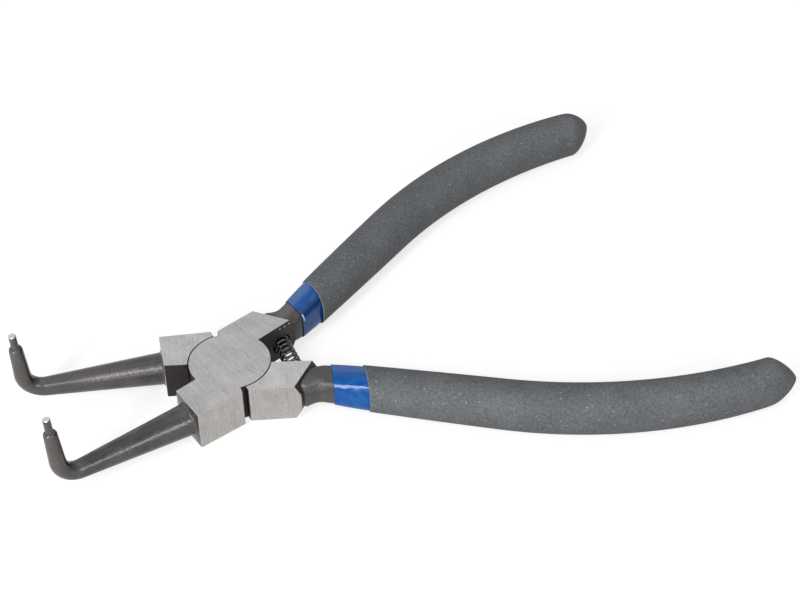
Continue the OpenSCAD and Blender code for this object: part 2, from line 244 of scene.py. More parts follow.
class Tree:
    """A shader or geometry node tree that is written as Python expressions."""

    def __init__(self, tree: bpy.types.NodeTree) -> None:
        """Empties the tree and takes it over."""
        tree.nodes.clear()
        self.tree = tree

    def add(
        self,
        kind: str,
        settings: dict[str, Any] | None = None,
        sockets: dict[str | int, Any] | None = None,
        out: str | int = 0,
    ) -> Val:
        """Adds a node.

        Args:
            kind: The node's type.
            settings: Its properties, which are set first.
            sockets: Values or links for its inputs, by name or place.
            out: The output that is returned.

        Returns:
            The wrapped output, or a Val without a socket where the node has none.
        """
        node = self.tree.nodes.new(kind)
        for name, value in (settings or {}).items():
            setattr(node, name, value)
        for name, value in (sockets or {}).items():
            self.feed(node.inputs[name], value)
        return Val(self, node.outputs[out]) if node.outputs else Val(self, None)

    def feed(self, socket: bpy.types.NodeSocket, value: Any) -> None:
        """Links a wrapped output to an input, or sets the input's own value.

        Args:
            socket: The input.
            value: A wrapped output or a plain value.
        """
        if isinstance(value, Val):
            self.tree.links.new(value.socket, socket)
        elif socket.type == "RGBA" and len(value) == 3:
            socket.default_value = (*value, 1.0)
        else:
            socket.default_value = value

    def math(self, operation: str, *values: "Val | float") -> Val:
        """Math node on values, in order."""
        return self.add("ShaderNodeMath", {"operation": operation}, dict(enumerate(values)))

    def vector(self, operation: str, *values: Any, out: str | int = 0) -> Val:
        """Vector Math node on vectors, in order."""
        settings = {"operation": operation}
        return self.add("ShaderNodeVectorMath", settings, dict(enumerate(values)), out)

    def combine(self, x: "Val | float", y: "Val | float", z: "Val | float") -> Val:
        """Vector from three values."""
        return self.add("ShaderNodeCombineXYZ", None, {0: x, 1: y, 2: z})

    def mix(self, share: "Val | float", first: Any, second: Any) -> Val:
        """Colour between two others, by a share from 0 to 1.

        Args:
            share: Share of the second colour.
            first: Colour at 0.
            second: Colour at 1.

        Returns:
            The mixed colour.
        """
        # The node has number and vector sockets too: its colours are inputs 6 and 7 and output 2
        sockets = {0: share, 6: first, 7: second}
        return self.add("ShaderNodeMix", {"data_type": "RGBA"}, sockets, out=2)

    def place(self, turn: float = 0.0) -> Val:
        """Object coordinates in millimetres, turned about Z by an angle in degrees.

        Args:
            turn: The angle.

        Returns:
            The coordinates.
        """
        point = self.add("ShaderNodeTexCoord", out="Object")
        sockets = {
            "Vector": point,
            "Rotation": (0.0, 0.0, math.radians(turn)),
            "Scale": (1 / MM, 1 / MM, 1 / MM),
        }
        return self.add("ShaderNodeMapping", {"vector_type": "POINT"}, sockets)

    def noise(self, point: Val, grain: Grain, detail: float = 2.0) -> Val:
        """Noise from 0 to 1 with a grain size in millimetres, or one for each axis.

        Args:
            point: Coordinates in millimetres.
            grain: The grain size.
            detail: Number of finer layers.

        Returns:
            The noise.
        """
        sizes = (grain, grain, grain) if isinstance(grain, float) else grain
        scaled = self.vector("DIVIDE", point, sizes)
        sockets = {"Vector": scaled, "Scale": 1.0, "Detail": detail}
        return self.add("ShaderNodeTexNoise", None, sockets)

    def carried(self, name: str) -> Val:
        """Value that a piece's points carry under a name."""
        return self.add("ShaderNodeAttribute", {"attribute_name": name}, out="Fac")

    def bump(self, height: Val, depth: float) -> Val:
        """Normal for a height field from 0 to 1, with its depth in millimetres."""
        sockets = {"Height": height, "Distance": depth * MM, "Strength": 1.0}
        return self.add("ShaderNodeBump", None, sockets)

    def surface(self, sockets: dict[str, Any]) -> None:
        """Ends a material in one Principled shader with these sockets."""
        shader = self.add("ShaderNodeBsdfPrincipled", None, sockets)
        self.add("ShaderNodeOutputMaterial", None, {"Surface": shader})


@dataclass(frozen=True)
class Finish:
    """What every finish shares: a named material whose nodes the finish writes.

    Where a finish has them, smooth is the roughness of its smoothest part, specular the strength of
    its shine, depth the depth of its relief, and clouds the size of its cloudy patches. A band
    holds the two values between which something starts and is whole.

    Attributes:
        name: Name of the material.
    """

    name: str

    def material(self) -> bpy.types.Material:
        """Makes the finish's material.

        Returns:
            The material.
        """
        made = bpy.data.materials.new(self.name)
        made.use_nodes = True
        self.write(Tree(made.node_tree))
        return made

    def write(self, tree: Tree) -> None:
        """Writes the finish's nodes into its material's tree."""
        raise NotImplementedError


@dataclass(frozen=True)
class Run:
    """A soft streak of colour on a surface, used for painted highlights, painted shade and a stain.

    Attributes:
        at: A point on its middle line, in millimetres.
        along: Direction of that line.
        reach: Distance from the line at which it fades out, in millimetres.
        colour: Its colour.
        strength: Share of that colour on the line.
        half_l: Distance along the line at which it fades out, in millimetres.
        broken: Share of the streak that breaks up into flecks.
        waver: How far a cloudy border wanders, as a share of the reach.
        full: Share of the reach that has the whole strength.
        full_l: Share of the half length that has the whole strength.
        fleck_band: Values of the fleck noise between which a fleck starts and is whole.
    """

    at: Spot
    along: Spot
    reach: float
    colour: Colour
    strength: float
    half_l: float = 40.0
    broken: float = 0.0
    waver: float = 0.84
    full: float = 0.25
    full_l: float = 0.6
    fleck_band: Flat = (0.44, 0.60)

    def share(self, tree: Tree, point: Val, cloud: Val, fleck: Val) -> Val:
        """Share of the streak's colour at a point.

        Args:
            tree: The material's tree.
            point: Coordinates in millimetres.
            cloud: Noise that makes the border cloudy.
            fleck: Noise that breaks the streak up.

        Returns:
            The share, from 0 to the streak's strength.
        """
        arm = tree.vector("SUBTRACT", point, self.at)
        square_to = tree.vector("CROSS_PRODUCT", arm, self.along)
        aside = tree.vector("LENGTH", square_to, out="Value")
        ahead = abs(tree.vector("DOT_PRODUCT", arm, self.along, out="Value"))
        wander = (cloud - 0.5) * (self.waver * self.reach)
        across = (aside + wander).rise(self.reach, self.reach * self.full)
        share = across * ahead.rise(self.half_l, self.half_l * self.full_l) * self.strength
        if self.broken:
            share = share * (fleck.rise(*self.fleck_band) * self.broken + (1 - self.broken))
        return share

    def over(self, tree: Tree, under: Val, point: Val, cloud: Val, fleck: Val) -> Val:
        """Colour with the streak laid over it, from the values that share takes."""
        return tree.mix(self.share(tree, point, cloud, fleck), under, self.colour)


@dataclass(frozen=True)
class GroundSteel(Finish):
    """Bright steel from a surface grinder, with fine lines across the tool.

    Attributes:
        turn: Angle that turns the lines to lie across the half, in degrees.
        dark: Colour in the lines.
        light: Colour between them.
        lines: Grain of the grinding lines.
        hairlines: Grain of the fine lines between them.
        grit: Grain of the tooth of the wheel.
        wheel: Point round which the wheel's arcs run.
        arc_w: Grain of the arcs, out from that point.
        arc_band: Noise that gives a scratch.
    """

    turn: float
    dark: Colour = (0.215, 0.209, 0.214)
    light: Colour = (0.632, 0.612, 0.627)
    smooth: float = 0.20
    lines: Grain = (0.42, 16.0, 16.0)
    hairlines: Grain = (0.14, 3.2, 3.2)
    grit: Grain = 0.34
    clouds: Grain = 5.5
    wheel: Spot = (34.0, 30.0, 5.0)
    arc_w: Grain = (0.5, 1.0, 1.0)
    arc_band: Flat = (0.70, 0.78)
    depth: float = 0.012

    def write(self, tree: Tree) -> None:
        """Writes grinding lines, a few arcs from the wheel, and cloudy patches.

        Args:
            tree: The material's tree.
        """
        point = tree.place(self.turn)
        coarse = tree.noise(point, self.lines, 3.0)
        fine = tree.noise(point, self.hairlines)
        grain = tree.noise(point, self.grit, 3.0)
        cloud = tree.noise(point, self.clouds)
        out = tree.vector("DISTANCE", point, self.wheel, out="Value")
        arcs = tree.noise(tree.combine(out, 0.0, cloud * 2.0), self.arc_w, 1.0)
        scratch = arcs.rise(*self.arc_band)
        tone = coarse * 0.33 + fine * 0.62 + grain * 0.75 + cloud * 0.45 - 0.56 - scratch * 0.12
        relief = coarse * 0.3 + fine * 0.5 + grain * 0.4 - scratch * 0.3
        tree.surface({
            "Base Color": tree.mix(tone, self.dark, self.light),
            "Metallic": 1.0,
            "Roughness": coarse * 0.10 + fine * 0.12 + grain * 0.10 + self.smooth,
            "Normal": tree.bump(relief, self.depth),
        })


@dataclass(frozen=True)
class BlackOxide(Finish):
    """Blackened forging: satin, finely scaled and rubbed in patches, with painted light and shade.

    Attributes:
        deep: Colour of the untouched black.
        worn: Colour where it is rubbed.
        runs: Painted highlights and shade on the posts, jaws and shanks in turn, then a rust stain.
        rubbed_band: Wear that gives a rubbed place.
        lump: Size of the forging's lumps.
        flake: Grain of the scale.
        pit: Grain of the pits.
        patch: Size of the rubbed patches.
        duller: Distances along the tool between which the satin turns duller.
    """

    deep: Colour = (0.027, 0.0235, 0.0245)
    worn: Colour = (0.068, 0.061, 0.062)
    runs: tuple[Run, ...] = (
        # Painted highlights down the posts' left sides
        Run((-46.4, 13.6, 14.0), (-0.05, 0.0, 1.0), 2.2, (0.105, 0.088, 0.080), 0.5, 13.0),
        Run((-46.5, -16.7, 13.0), (-0.05, 0.0, 1.0), 2.2, (0.105, 0.088, 0.080), 0.5, 13.0),
        # Painted shade down the posts' right sides
        Run((-43.9, 14.1, 13.0), (-0.10, 0.0, 1.0), 1.2, (0.008, 0.008, 0.012), 0.9, 11.0),
        Run((-43.8, -16.2, 13.0), (-0.10, 0.0, 1.0), 1.2, (0.008, 0.008, 0.010), 0.9, 11.0),
        # Painted sheen over the far jaw, then a flecked painted highlight along it
        Run((-29.0, 10.4, 6.7), (0.971, -0.236, 0.041), 2.6, (0.105, 0.096, 0.103), 0.45, 22.0),
        Run((-22.0, 8.5, 7.05), (0.971, -0.236, 0.041), 1.2, (0.24, 0.228, 0.236), 0.55, 12.0, 0.7),
        # Painted shade along the near jaw's top
        Run((-29.2, -13.2, 7.4), (0.985, 0.145, 0.045), 1.9, (0.013, 0.012, 0.014), 0.75, 14.0),
        # Painted highlight on the near shank, then painted light on the far shank's top
        Run((14.6, -13.95, 8.1), (0.985, -0.14, -0.08), 2.2, (0.150, 0.144, 0.150), 0.6, 4.5, 0.75),
        Run((18.2, 12.2, 8.8), (0.826, 0.559, 0.070), 2.0, (0.135, 0.126, 0.140), 0.6, 4.5),
        # A rust stain on the far shank
        Run((20.2, 9.9, 8.6), (0.90, 0.43, 0.0), 0.9, (0.075, 0.032, 0.022), 0.7, 1.2),
    )
    rubbed_band: Flat = (0.30, 0.70)
    lump: Grain = 3.4
    flake: Grain = 0.55
    pit: Grain = 0.20
    patch: Grain = 4.5
    duller: Flat = (6.0, 12.0)
    smooth: float = 0.05
    specular: float = 0.50
    depth: float = 0.075

    def write(self, tree: Tree) -> None:
        """Writes forge scale, rubbed patches, fine pits, painted light and shade, and the stain.

        Args:
            tree: The material's tree.
        """
        point = tree.place()
        lumps = tree.noise(point, self.lump)
        scale = tree.noise(point, self.flake, 4.0)
        pits = tree.noise(point, self.pit)
        patches = tree.noise(point, self.patch)
        rubbed = (scale * 0.2 + pits * 0.05 + patches * 0.75).rise(*self.rubbed_band)
        black = tree.mix(rubbed, self.deep, self.worn)
        # Lays the painted highlights, the painted shade and the rust stain over the black
        for run in self.runs:
            black = run.over(tree, black, point, patches, scale)
        along = tree.add("ShaderNodeSeparateXYZ", None, {"Vector": point}, out="X")
        dull = along.rise(*self.duller)
        tree.surface({
            "Base Color": black,
            "Roughness": scale * 0.18 + pits * 0.10 + patches * 0.10 + dull * 0.18 + self.smooth,
            "Specular IOR Level": self.specular,
            "Normal": tree.bump(lumps * 0.30 + scale * 0.42 + pits * 0.12, self.depth),
        })


@dataclass(frozen=True)
class BlackedFace(Finish):
    """Machined face of the head, blackened, unrubbed, darkened as painted shade, with bright edge chips.

    Attributes:
        chips: Middles of the chips.
        chip_r: Radius of a chip.
        ragged: How far a chip's border fades in and out.
        nick: Grain of the nicks in that border, and how far they reach.
        deep: Colour of the black near the pivot, darkest there as painted shade.
        worn: Colour of the black farther out, where the painted shade has faded.
        steel: Colour in the chips.
        cutter: Grain of the cutter's marks.
        shade_fade: Distances from the pivot over which the painted shade fades out.
    """

    chips: tuple[Spot, ...] = ((14.82, 6.68, 8.86), (16.13, 7.19, 8.76), (17.46, 7.70, 8.82))
    chip_r: float = 0.24
    ragged: float = 0.06
    nick: float = 0.12
    deep: Colour = (0.010, 0.009, 0.009)
    worn: Colour = (0.040, 0.033, 0.030)
    steel: Colour = (0.62, 0.60, 0.58)
    cutter: Grain = (2.2, 2.2, 0.24)
    clouds: Grain = 1.6
    shade_fade: Flat = (16.0, 25.0)
    smooth: float = 0.32
    specular: float = 0.28
    depth: float = 0.03

    def write(self, tree: Tree) -> None:
        """Writes cutter marks, cloudy black with painted shade near the pivot, and the chips.

        Args:
            tree: The material's tree.
        """
        point = tree.place()
        marks = tree.noise(point, self.cutter)
        cloud = tree.noise(point, self.clouds, 3.0)
        chipped = self._chipped(tree, point)
        level = tree.vector("MULTIPLY", point, (1.0, 1.0, 0.0))
        out = tree.vector("LENGTH", level, out="Value") + cloud * 4.0
        # Painted shade: darkest near the pivot, between the blocks, and lighter farther out
        tone = marks * 0.35 + cloud * 0.55 + out.rise(*self.shade_fade) * 0.75 - 0.15
        black = tree.mix(tone, self.deep, self.worn)
        tree.surface({
            "Base Color": tree.mix(chipped, black, self.steel),
            "Metallic": chipped,
            "Roughness": marks * 0.16 + cloud * 0.16 + self.smooth,
            "Specular IOR Level": self.specular,
            "Normal": tree.bump(marks * 0.5 + cloud * 0.3, self.depth),
        })

    def _chipped(self, tree: Tree, point: Val) -> Val:
        """1 in the chips and 0 elsewhere, at coordinates in millimetres.

        Args:
            tree: The material's tree.
            point: Coordinates in millimetres.

        Returns:
            The mask.
        """
        nicks = tree.noise(point, self.nick, 1.0) * self.nick
        rim = (self.chip_r + self.ragged, self.chip_r - self.ragged)
        spots = [
            (tree.vector("DISTANCE", point, chip, out="Value") + nicks).rise(*rim)
            for chip in self.chips
        ]
        chipped = spots[0]
        for spot in spots[1:]:
            chipped = chipped.math("MAXIMUM", spot)
        return chipped


@dataclass(frozen=True)
class BareSteel(Finish):
    """Cut end of a tip pin: bright, with fine marks across the cut.

    Attributes:
        dark: Colour in the marks.
        light: Colour between them.
        cut: Grain of the marks.
    """

    dark: Colour = (0.42, 0.415, 0.41)
    light: Colour = (0.80, 0.79, 0.78)
    cut: Grain = (0.08, 0.9, 0.9)
    clouds: Grain = 0.6
    smooth: float = 0.26
    depth: float = 0.008

    def write(self, tree: Tree) -> None:
        """Writes the marks and a cloudy shine.

        Args:
            tree: The material's tree.
        """
        point = tree.place()
        marks = tree.noise(point, self.cut)
        cloud = tree.noise(point, self.clouds, 1.0)
        tree.surface({
            "Base Color": tree.mix(marks * 0.6 + cloud * 0.4, self.dark, self.light),
            "Metallic": 1.0,
            "Roughness": marks * 0.2 + self.smooth,
            "Normal": tree.bump(marks, self.depth),
        })


@dataclass(frozen=True)
class SpringWire(Finish):
    """Oiled black spring wire with faint drawing marks.

    Attributes:
        deep: Colour under the oil.
        worn: Colour where the wire is rubbed.
        patch: Size of the oily patches.
        rubbed_band: Their noise that gives a rubbed place.
        mark: Grain of the drawing marks.
    """

    deep: Colour = (0.008, 0.008, 0.009)
    worn: Colour = (0.026, 0.025, 0.024)
    patch: Grain = 0.8
    rubbed_band: Flat = (0.4, 0.7)
    mark: Grain = 0.12
    smooth: float = 0.10
    specular: float = 1.0
    depth: float = 0.01

    def write(self, tree: Tree) -> None:
        """Writes patchy oil and fine marks.

        Args:
            tree: The material's tree.
        """
        point = tree.place()
        patches = tree.noise(point, self.patch)
        marks = tree.noise(point, self.mark)
        tree.surface({
            "Base Color": tree.mix(patches.rise(*self.rubbed_band), self.deep, self.worn),
            "Roughness": patches * 0.15 + marks * 0.08 + self.smooth,
            "Specular IOR Level": self.specular,
            "Normal": tree.bump(marks, self.depth),
        })


@dataclass(frozen=True)
class BlueVinyl(Finish):
    """Glossy dipped vinyl, slightly wavy, with painted shade at the mouth and painted light on it.

    Attributes:
        runs: Painted shade and painted reflections along the collars.
        glint: Painted highlight on the far collar's rim.
        deep: Colour in the thick of the coat.
        light: Colour where the coat is thin.
        rim: Colour of the painted shade at the rim of the mouth.
        rim_shade_band: Distances from the mouth where the painted shade fades in, far one first.
        thick_band: Values of the cloud between which the coat goes from thick to thin.
        wave: Size of the waves.
        dust: Grain of the dust on it.
        dust_band: Dust noise that gives a dull grain.
    """

    runs: tuple[Run, ...] = (
        # Painted shade in a dark band along the far collar
        Run((24.5, 11.4, 8.8), (0.826, 0.559, 0.070), 1.9, (0.0015, 0.026, 0.115), 0.85),
        # Painted reflection: a pale haze along the far collar's top
        Run((23.5, 16.5, 9.4), (0.826, 0.559, 0.070), 1.9, (0.105, 0.185, 0.370), 0.60),
        # A greyer, darker painted tone on the far collar's lower side, standing in for how light falls there
        Run((23.9, 10.0, 5.7), (0.826, 0.559, 0.070), 2.2, (0.030, 0.062, 0.150), 0.55),
        # Painted reflection: a pale haze along the near collar's top
        Run((22.6, -11.9, 9.1), (0.826, -0.559, 0.070), 1.9, (0.105, 0.185, 0.370), 0.42),
    )
    # Painted highlight on the far collar's rim
    glint: Run = Run((21.62, 9.15, 8.1), (0.165, -0.42, -0.89), 0.34, (0.52, 0.70, 0.92), 0.9, 1.5)
    deep: Colour = (0.002, 0.064, 0.275)
    light: Colour = (0.004, 0.100, 0.365)
    rim: Colour = (0.002, 0.030, 0.120)
    rim_shade_band: Flat = (0.34, 0.10)
    thick_band: Flat = (0.3, 0.7)
    wave: Grain = 3.2
    clouds: Grain = 1.7
    dust: Grain = 0.28
    dust_band: Flat = (0.58, 0.72)
    smooth: float = 0.07
    specular: float = 0.23
    depth: float = 0.07

    def write(self, tree: Tree) -> None:
        """Writes soft waves, cloudy colour, painted shade and reflections, rim shade and a glint.

        Args:
            tree: The material's tree.
        """
        point = tree.place()
        waves = tree.noise(point, self.wave, 1.0)
        cloud = tree.noise(point, self.clouds)
        dust = tree.noise(point, self.dust)
        body = tree.mix(cloud.rise(*self.thick_band), self.deep, self.light)
        # Lays the painted shade and painted reflections over the coat's colour
        for run in self.runs:
            body = run.over(tree, body, point, cloud, dust)
        # Painted shade at the rim of the mouth
        rim_shaded = tree.mix(tree.carried("mouth").rise(*self.rim_shade_band) * 0.7, body, self.rim)
        tree.surface({
            # Lays the painted highlight on the far collar's rim
            "Base Color": self.glint.over(tree, rim_shaded, point, cloud, dust),
            "Roughness": cloud * 0.08 + dust.rise(*self.dust_band) * 0.08 + self.smooth,
            "Specular IOR Level": self.specular,
            "Normal": tree.bump(waves * 0.85 + dust * 0.02, self.depth),
        })


@dataclass(frozen=True)
class SpeckledGrip(Finish):
    """Matte soft grip: grey, finely grained, with pale specks, dark pits and a painted lip highlight.

    Attributes:
        grey: Colour in the grain.
        pale: Colour between the grains.
        speck: Colour of the specks.
        lip: Colour of the painted highlight on the lip at the mouth.
        pit: Colour of the pits.
        lip_highlight_band: Distances from the mouth where the painted highlight fades in, far first.
        grain: Size of the grains.
        fine: Size of the finest grains.
        cell: Size of the cells that specks and pits are scattered in.
        speck_lot: Cells whose random value lies under this get no speck.
        pit_lot: Cells whose random value lies under this get no pit.
        lot_soft: Range of random values over which a dot grows from nothing to its whole strength.
        pit_move: Shift of the pits' cells from the specks' cells.
        dot_band: Distances from a dot's middle, in cells, between which it fades in.
    """

    grey: Colour = (0.062, 0.066, 0.070)
    pale: Colour = (0.166, 0.175, 0.184)
    speck: Colour = (0.36, 0.37, 0.38)
    lip: Colour = (0.190, 0.222, 0.226)
    pit: Colour = (0.045, 0.047, 0.050)
    lip_highlight_band: Flat = (0.36, 0.14)
    grain: Grain = 0.55
    fine: Grain = 0.20
    clouds: Grain = 7.0
    cell: float = 0.66
    speck_lot: float = 0.94
    pit_lot: float = 0.86
    lot_soft: float = 0.02
    pit_move: Spot = (3.1, 1.7, 2.3)
    dot_band: Flat = (0.34, 0.18)
    smooth: float = 0.60
    specular: float = 0.30
    depth: float = 0.13

    def write(self, tree: Tree) -> None:
        """Writes grain, cloudy patches, the painted highlight on the lip, specks and pits.

        Args:
            tree: The material's tree.
        """
        point = tree.place()
        grain = tree.noise(point, self.grain, 3.0)
        fine = tree.noise(point, self.fine)
        cloud = tree.noise(point, self.clouds)
        specks = self._dots(tree, point, self.speck_lot)
        pits = self._dots(tree, tree.vector("ADD", point, self.pit_move), self.pit_lot)
        tone = grain * 1.50 + fine * 0.80 + cloud * 0.50 - 0.92
        body = tree.mix(tone, self.grey, self.pale)
        # Painted highlight along the lip at the mouth
        lip_highlighted = tree.mix(tree.carried("mouth").rise(*self.lip_highlight_band) * 0.5, body, self.lip)
        flecked = tree.mix(specks * 0.75, lip_highlighted, self.speck)
        relief = grain * 0.70 + fine * 0.30 + specks * 0.35 - pits * 0.4
        tree.surface({
            "Base Color": tree.mix(pits * 0.55, flecked, self.pit),
            "Roughness": grain * 0.16 + fine * 0.10 + self.smooth,
            "Specular IOR Level": self.specular,
            "Normal": tree.bump(relief, self.depth),
        })

    def _dots(self, tree: Tree, point: Val, lot: float) -> Val:
        """Round dots in some cells of a scatter.

        Args:
            tree: The material's tree.
            point: Coordinates in millimetres.
            lot: Cells whose random value lies under this get no dot.

        Returns:
            1 in the dots and 0 between them.
        """
        scaled = tree.vector("DIVIDE", point, (self.cell, self.cell, self.cell))
        sockets = {"Vector": scaled, "Scale": 1.0}
        cells = tree.add("ShaderNodeTexVoronoi", None, sockets, out="Distance")
        drawn = tree.add("ShaderNodeSeparateColor", None, {"Color": cells.also("Color")})
        return cells.rise(*self.dot_band) * drawn.rise(lot, lot + self.lot_soft)


@dataclass(frozen=True)
class PaleFloor(Finish):
    """White studio floor that keeps a soft shadow.

    Attributes:
        paint: Colour of the paint.
        mottled: Colour of its faint patches.
        mottle: Size of the patches.
        glow: Lift towards white for rays that see the floor directly.
    """

    paint: Colour = (0.42, 0.413, 0.405)
    mottled: Colour = (0.4158, 0.40887, 0.40095)
    mottle: Grain = 60.0
    glow: float = 0.70

    def write(self, tree: Tree) -> None:
        """Writes a faintly mottled matte paint, lifted to white for what sees it directly.

        Args:
            tree: The material's tree.
        """
        mottle = tree.noise(tree.place(), self.mottle)
        shade = tree.mix(mottle, self.mottled, self.paint)
        matte = tree.add("ShaderNodeBsdfDiffuse", None, {"Color": shade})
        camera, shiny = Studio.direct_rays(tree)
        glow = camera.math("MAXIMUM", shiny) * self.glow
        lift = tree.add("ShaderNodeEmission", None, {"Color": WHITE, "Strength": glow})
        both = tree.add("ShaderNodeAddShader", None, {0: matte, 1: lift})
        tree.add("ShaderNodeOutputMaterial", None, {"Surface": both})


def new_object(name: str, mesh: bpy.types.Mesh) -> bpy.types.Object:
    """Object at the origin that shows a mesh.

    Args:
        name: Name of the object.
        mesh: The mesh.

    Returns:
        The object, in the scene.
    """
    made = bpy.data.objects.new(name, mesh)
    bpy.context.scene.collection.objects.link(made)
    return made


def evaluated_mesh(obj: bpy.types.Object) -> bpy.types.Mesh:
    """Plain mesh of an object with its modifiers, which takes the place of the old mesh.

    Args:
        obj: A mesh object with modifiers.

    Returns:
        The new mesh, on the object, with the modifiers gone.
    """
    graph = bpy.context.evaluated_depsgraph_get()
    mesh = bpy.data.meshes.new_from_object(obj.evaluated_get(graph), depsgraph=graph)
    old = obj.data
    obj.modifiers.clear()
    obj.data = mesh
    bpy.data.meshes.remove(old)
    return mesh


def turn_outward(mesh: bpy.types.Mesh) -> None:
    """Flips a closed mesh whose faces point inwards.

    Args:
        mesh: The mesh, which is changed in place.
    """
    work = bmesh.new()
    work.from_mesh(mesh)
    if work.calc_volume(signed=True) < 0:
        bmesh.ops.reverse_faces(work, faces=work.faces)
        work.to_mesh(mesh)
    work.free()


def loft(name: str, rings: Sequence[np.ndarray], skins: Sequence[Skin]) -> bpy.types.Mesh:
    """Closed mesh through rings that all have the same number of points.

    Args:
        name: Name of the mesh.
        rings: Points of each ring, in millimetres.
        skins: Finish of the first cap, of each band between rings, and of the last cap.

    Returns:
        The mesh, in millimetres, with its faces outwards.
    """
    count = len(rings[0])
    last = len(rings) - 1
    faces = [tuple(range(count))[::-1]]
    slots = [skins[0]]
    for k in range(last):
        for i in range(count):
            j = (i + 1) % count
            faces.append((k * count + i, k * count + j, (k + 1) * count + j, (k + 1) * count + i))
            slots.append(skins[k + 1])
    faces.append(tuple(last * count + i for i in range(count)))
    slots.append(skins[-1])
    mesh = bpy.data.meshes.new(name)
    mesh.from_pydata([tuple(map(float, p)) for ring in rings for p in ring], [], faces)
    mesh.polygons.foreach_set("material_index", [int(s) for s in slots])
    mesh.update()
    turn_outward(mesh)
    return mesh


def around(sides: int) -> np.ndarray:
    """Angles of points that are spread evenly round a circle."""
    return np.arange(sides) * 2 * math.pi / sides


def rounded(t: float, square: float) -> float:
    """Share of a section that is left at a share of a rounded end, by the end's squareness."""
    return max(0.0, 1 - t**square) ** (1 / square)


def turned(
    name: str, profile: Sequence[Flat], skin: Skin, sides: int = 144, bright: Sequence[int] = ()
) -> bpy.types.Mesh:
    """Closed solid turned about Z.

    Args:
        name: Name of the mesh.
        profile: Radius and height of each ring, from one flat end to the other, in millimetres.
        skin: Finish of the whole.
        sides: Number of sides.
        bright: Places of the bands that are ground instead, with the first end as 0.

    Returns:
        The mesh, in millimetres.
    """
    angles = around(sides)
    rings = [
        np.column_stack([r * np.cos(angles), r * np.sin(angles), np.full(sides, z)])
        for r, z in profile
    ]
    skins = [Skin.GROUND if i in bright else skin for i in range(len(rings) + 1)]
    return loft(name, rings, skins)


class Workpiece:
    """A mesh that is joined with others and cut by them, with exact booleans."""

    def __init__(self, mesh: bpy.types.Mesh, finishes: Sequence[bpy.types.Material]) -> None:
        """Starts from a closed mesh whose slots follow Skin."""
        self.finishes = finishes
        self.obj = self._clamp_up(mesh)

    def _clamp_up(self, mesh: bpy.types.Mesh) -> bpy.types.Object:
        """Object for a mesh, with the piece's material slots.

        Args:
            mesh: A closed mesh.

        Returns:
            The object.
        """
        if not mesh.materials:
            for finish in self.finishes:
                mesh.materials.append(finish)
        return new_object(mesh.name, mesh)

    def work(self, how: Work, tool: bpy.types.Mesh) -> None:
        """Joins a tool on, cuts it out, or trims the piece to what it covers.

        Args:
            how: What the tool does.
            tool: Closed mesh, which is used up.
        """
        held = self._clamp_up(tool)
        cut = self.obj.modifiers.new("cut", "BOOLEAN")
        cut.operation = how.value
        cut.solver = "EXACT"
        cut.object = held
        evaluated_mesh(self.obj)
        bpy.data.objects.remove(held)
        bpy.data.meshes.remove(tool)

    def take(self) -> bpy.types.Mesh:
        """Removes the object and hands over its mesh.

        Returns:
            The mesh.
        """
        mesh = self.obj.data
        bpy.data.objects.remove(self.obj)
        return mesh


@dataclass(frozen=True)
class Corner:
    """A corner of a block's outline, with the finish of the side that starts there.

    Attributes:
        at: Place of the corner.
        skin: Finish of the side from this corner to the next.
        ease: Length cut off the corner along both its sides.
    """

    at: Flat
    skin: Skin
    ease: float = 0.0


@dataclass(frozen=True)
class Block:
    """An upright block of the head with broken edges."""

    name: str
    corners: tuple[Corner, ...]
    height: float
    edge: float

    def outline(self) -> tuple[np.ndarray, list[Skin]]:
        """Points of the outline with its corners eased, and the finish of the side after each.

        Returns:
            The points, and a finish for each.
        """
        points: list[np.ndarray] = []
        skins: list[Skin] = []
        count = len(self.corners)
        for i, corner in enumerate(self.corners):
            here = np.array(corner.at)
            if corner.ease:
                for step, skin in ((i - 1, Skin.GROUND), ((i + 1) % count, corner.skin)):
                    away = np.array(self.corners[step].at) - here
                    points.append(here + away / np.linalg.norm(away) * corner.ease)
                    skins.append(skin)
            else:
                points.append(here)
                skins.append(corner.skin)
        return np.array(points), skins

    @staticmethod
    def inset(points: np.ndarray, depth: float) -> np.ndarray:
        """Outline moved inwards by a depth, for points that run anticlockwise.

        Args:
            points: The outline.
            depth: The depth.

        Returns:
            The smaller outline.
        """
        ahead = np.roll(points, -1, axis=0) - points
        ahead /= np.linalg.norm(ahead, axis=1)[:, None]
        inward = np.column_stack([-ahead[:, 1], ahead[:, 0]])
        before = np.roll(inward, 1, axis=0)
        share = 1 + np.sum(inward * before, axis=1)
        return points + depth * (inward + before) / share[:, None]

    def mesh(self) -> bpy.types.Mesh:
        """Closed mesh of the block.

        Returns:
            The closed mesh, in millimetres.
        """
        points, skins = self.outline()
        small = self.inset(points, self.edge)
        levels = [
            (small, 0.0),
            (points, self.edge),
            (points, self.height - self.edge),
            (small, self.height),
        ]
        rings = [np.column_stack([flat, np.full(len(flat), z)]) for flat, z in levels]
        made = loft(self.name, rings, [Skin.GROUND] * (len(rings) + 1))
        # The sides follow the lower cap and the band of the lower broken edge
        first = 1 + len(points)
        for i, skin in enumerate(skins):
            made.polygons[first + i].material_index = int(skin)
        return made


@dataclass(frozen=True)
class Rule:
    """A size that runs smoothly through three values along a length.

    Attributes:
        front: The size at the start.
        middle: The size half way.
        end: The size at the finish.
        start: Distance along the handle where it starts.
        finish: Distance along the handle where it finishes.
    """

    front: float
    middle: float
    end: float
    start: float
    finish: float

    def at(self, s: float) -> float:
        """The size at a distance along the handle.

        Args:
            s: Distance along the handle.

        Returns:
            The size.
        """
        u = max(0.0, s - self.start) / (self.finish - self.start)
        front = self.front * (1 - u) * (1 - 2 * u)
        middle = self.middle * 4 * u * (1 - u)
        return front + middle + self.end * u * (2 * u - 1)

    def grown(self, size: float) -> "Rule":
        """The same rule with every value larger by a size."""
        values = (self.front + size, self.middle + size, self.end + size)
        return Rule(*values, self.start, self.finish)


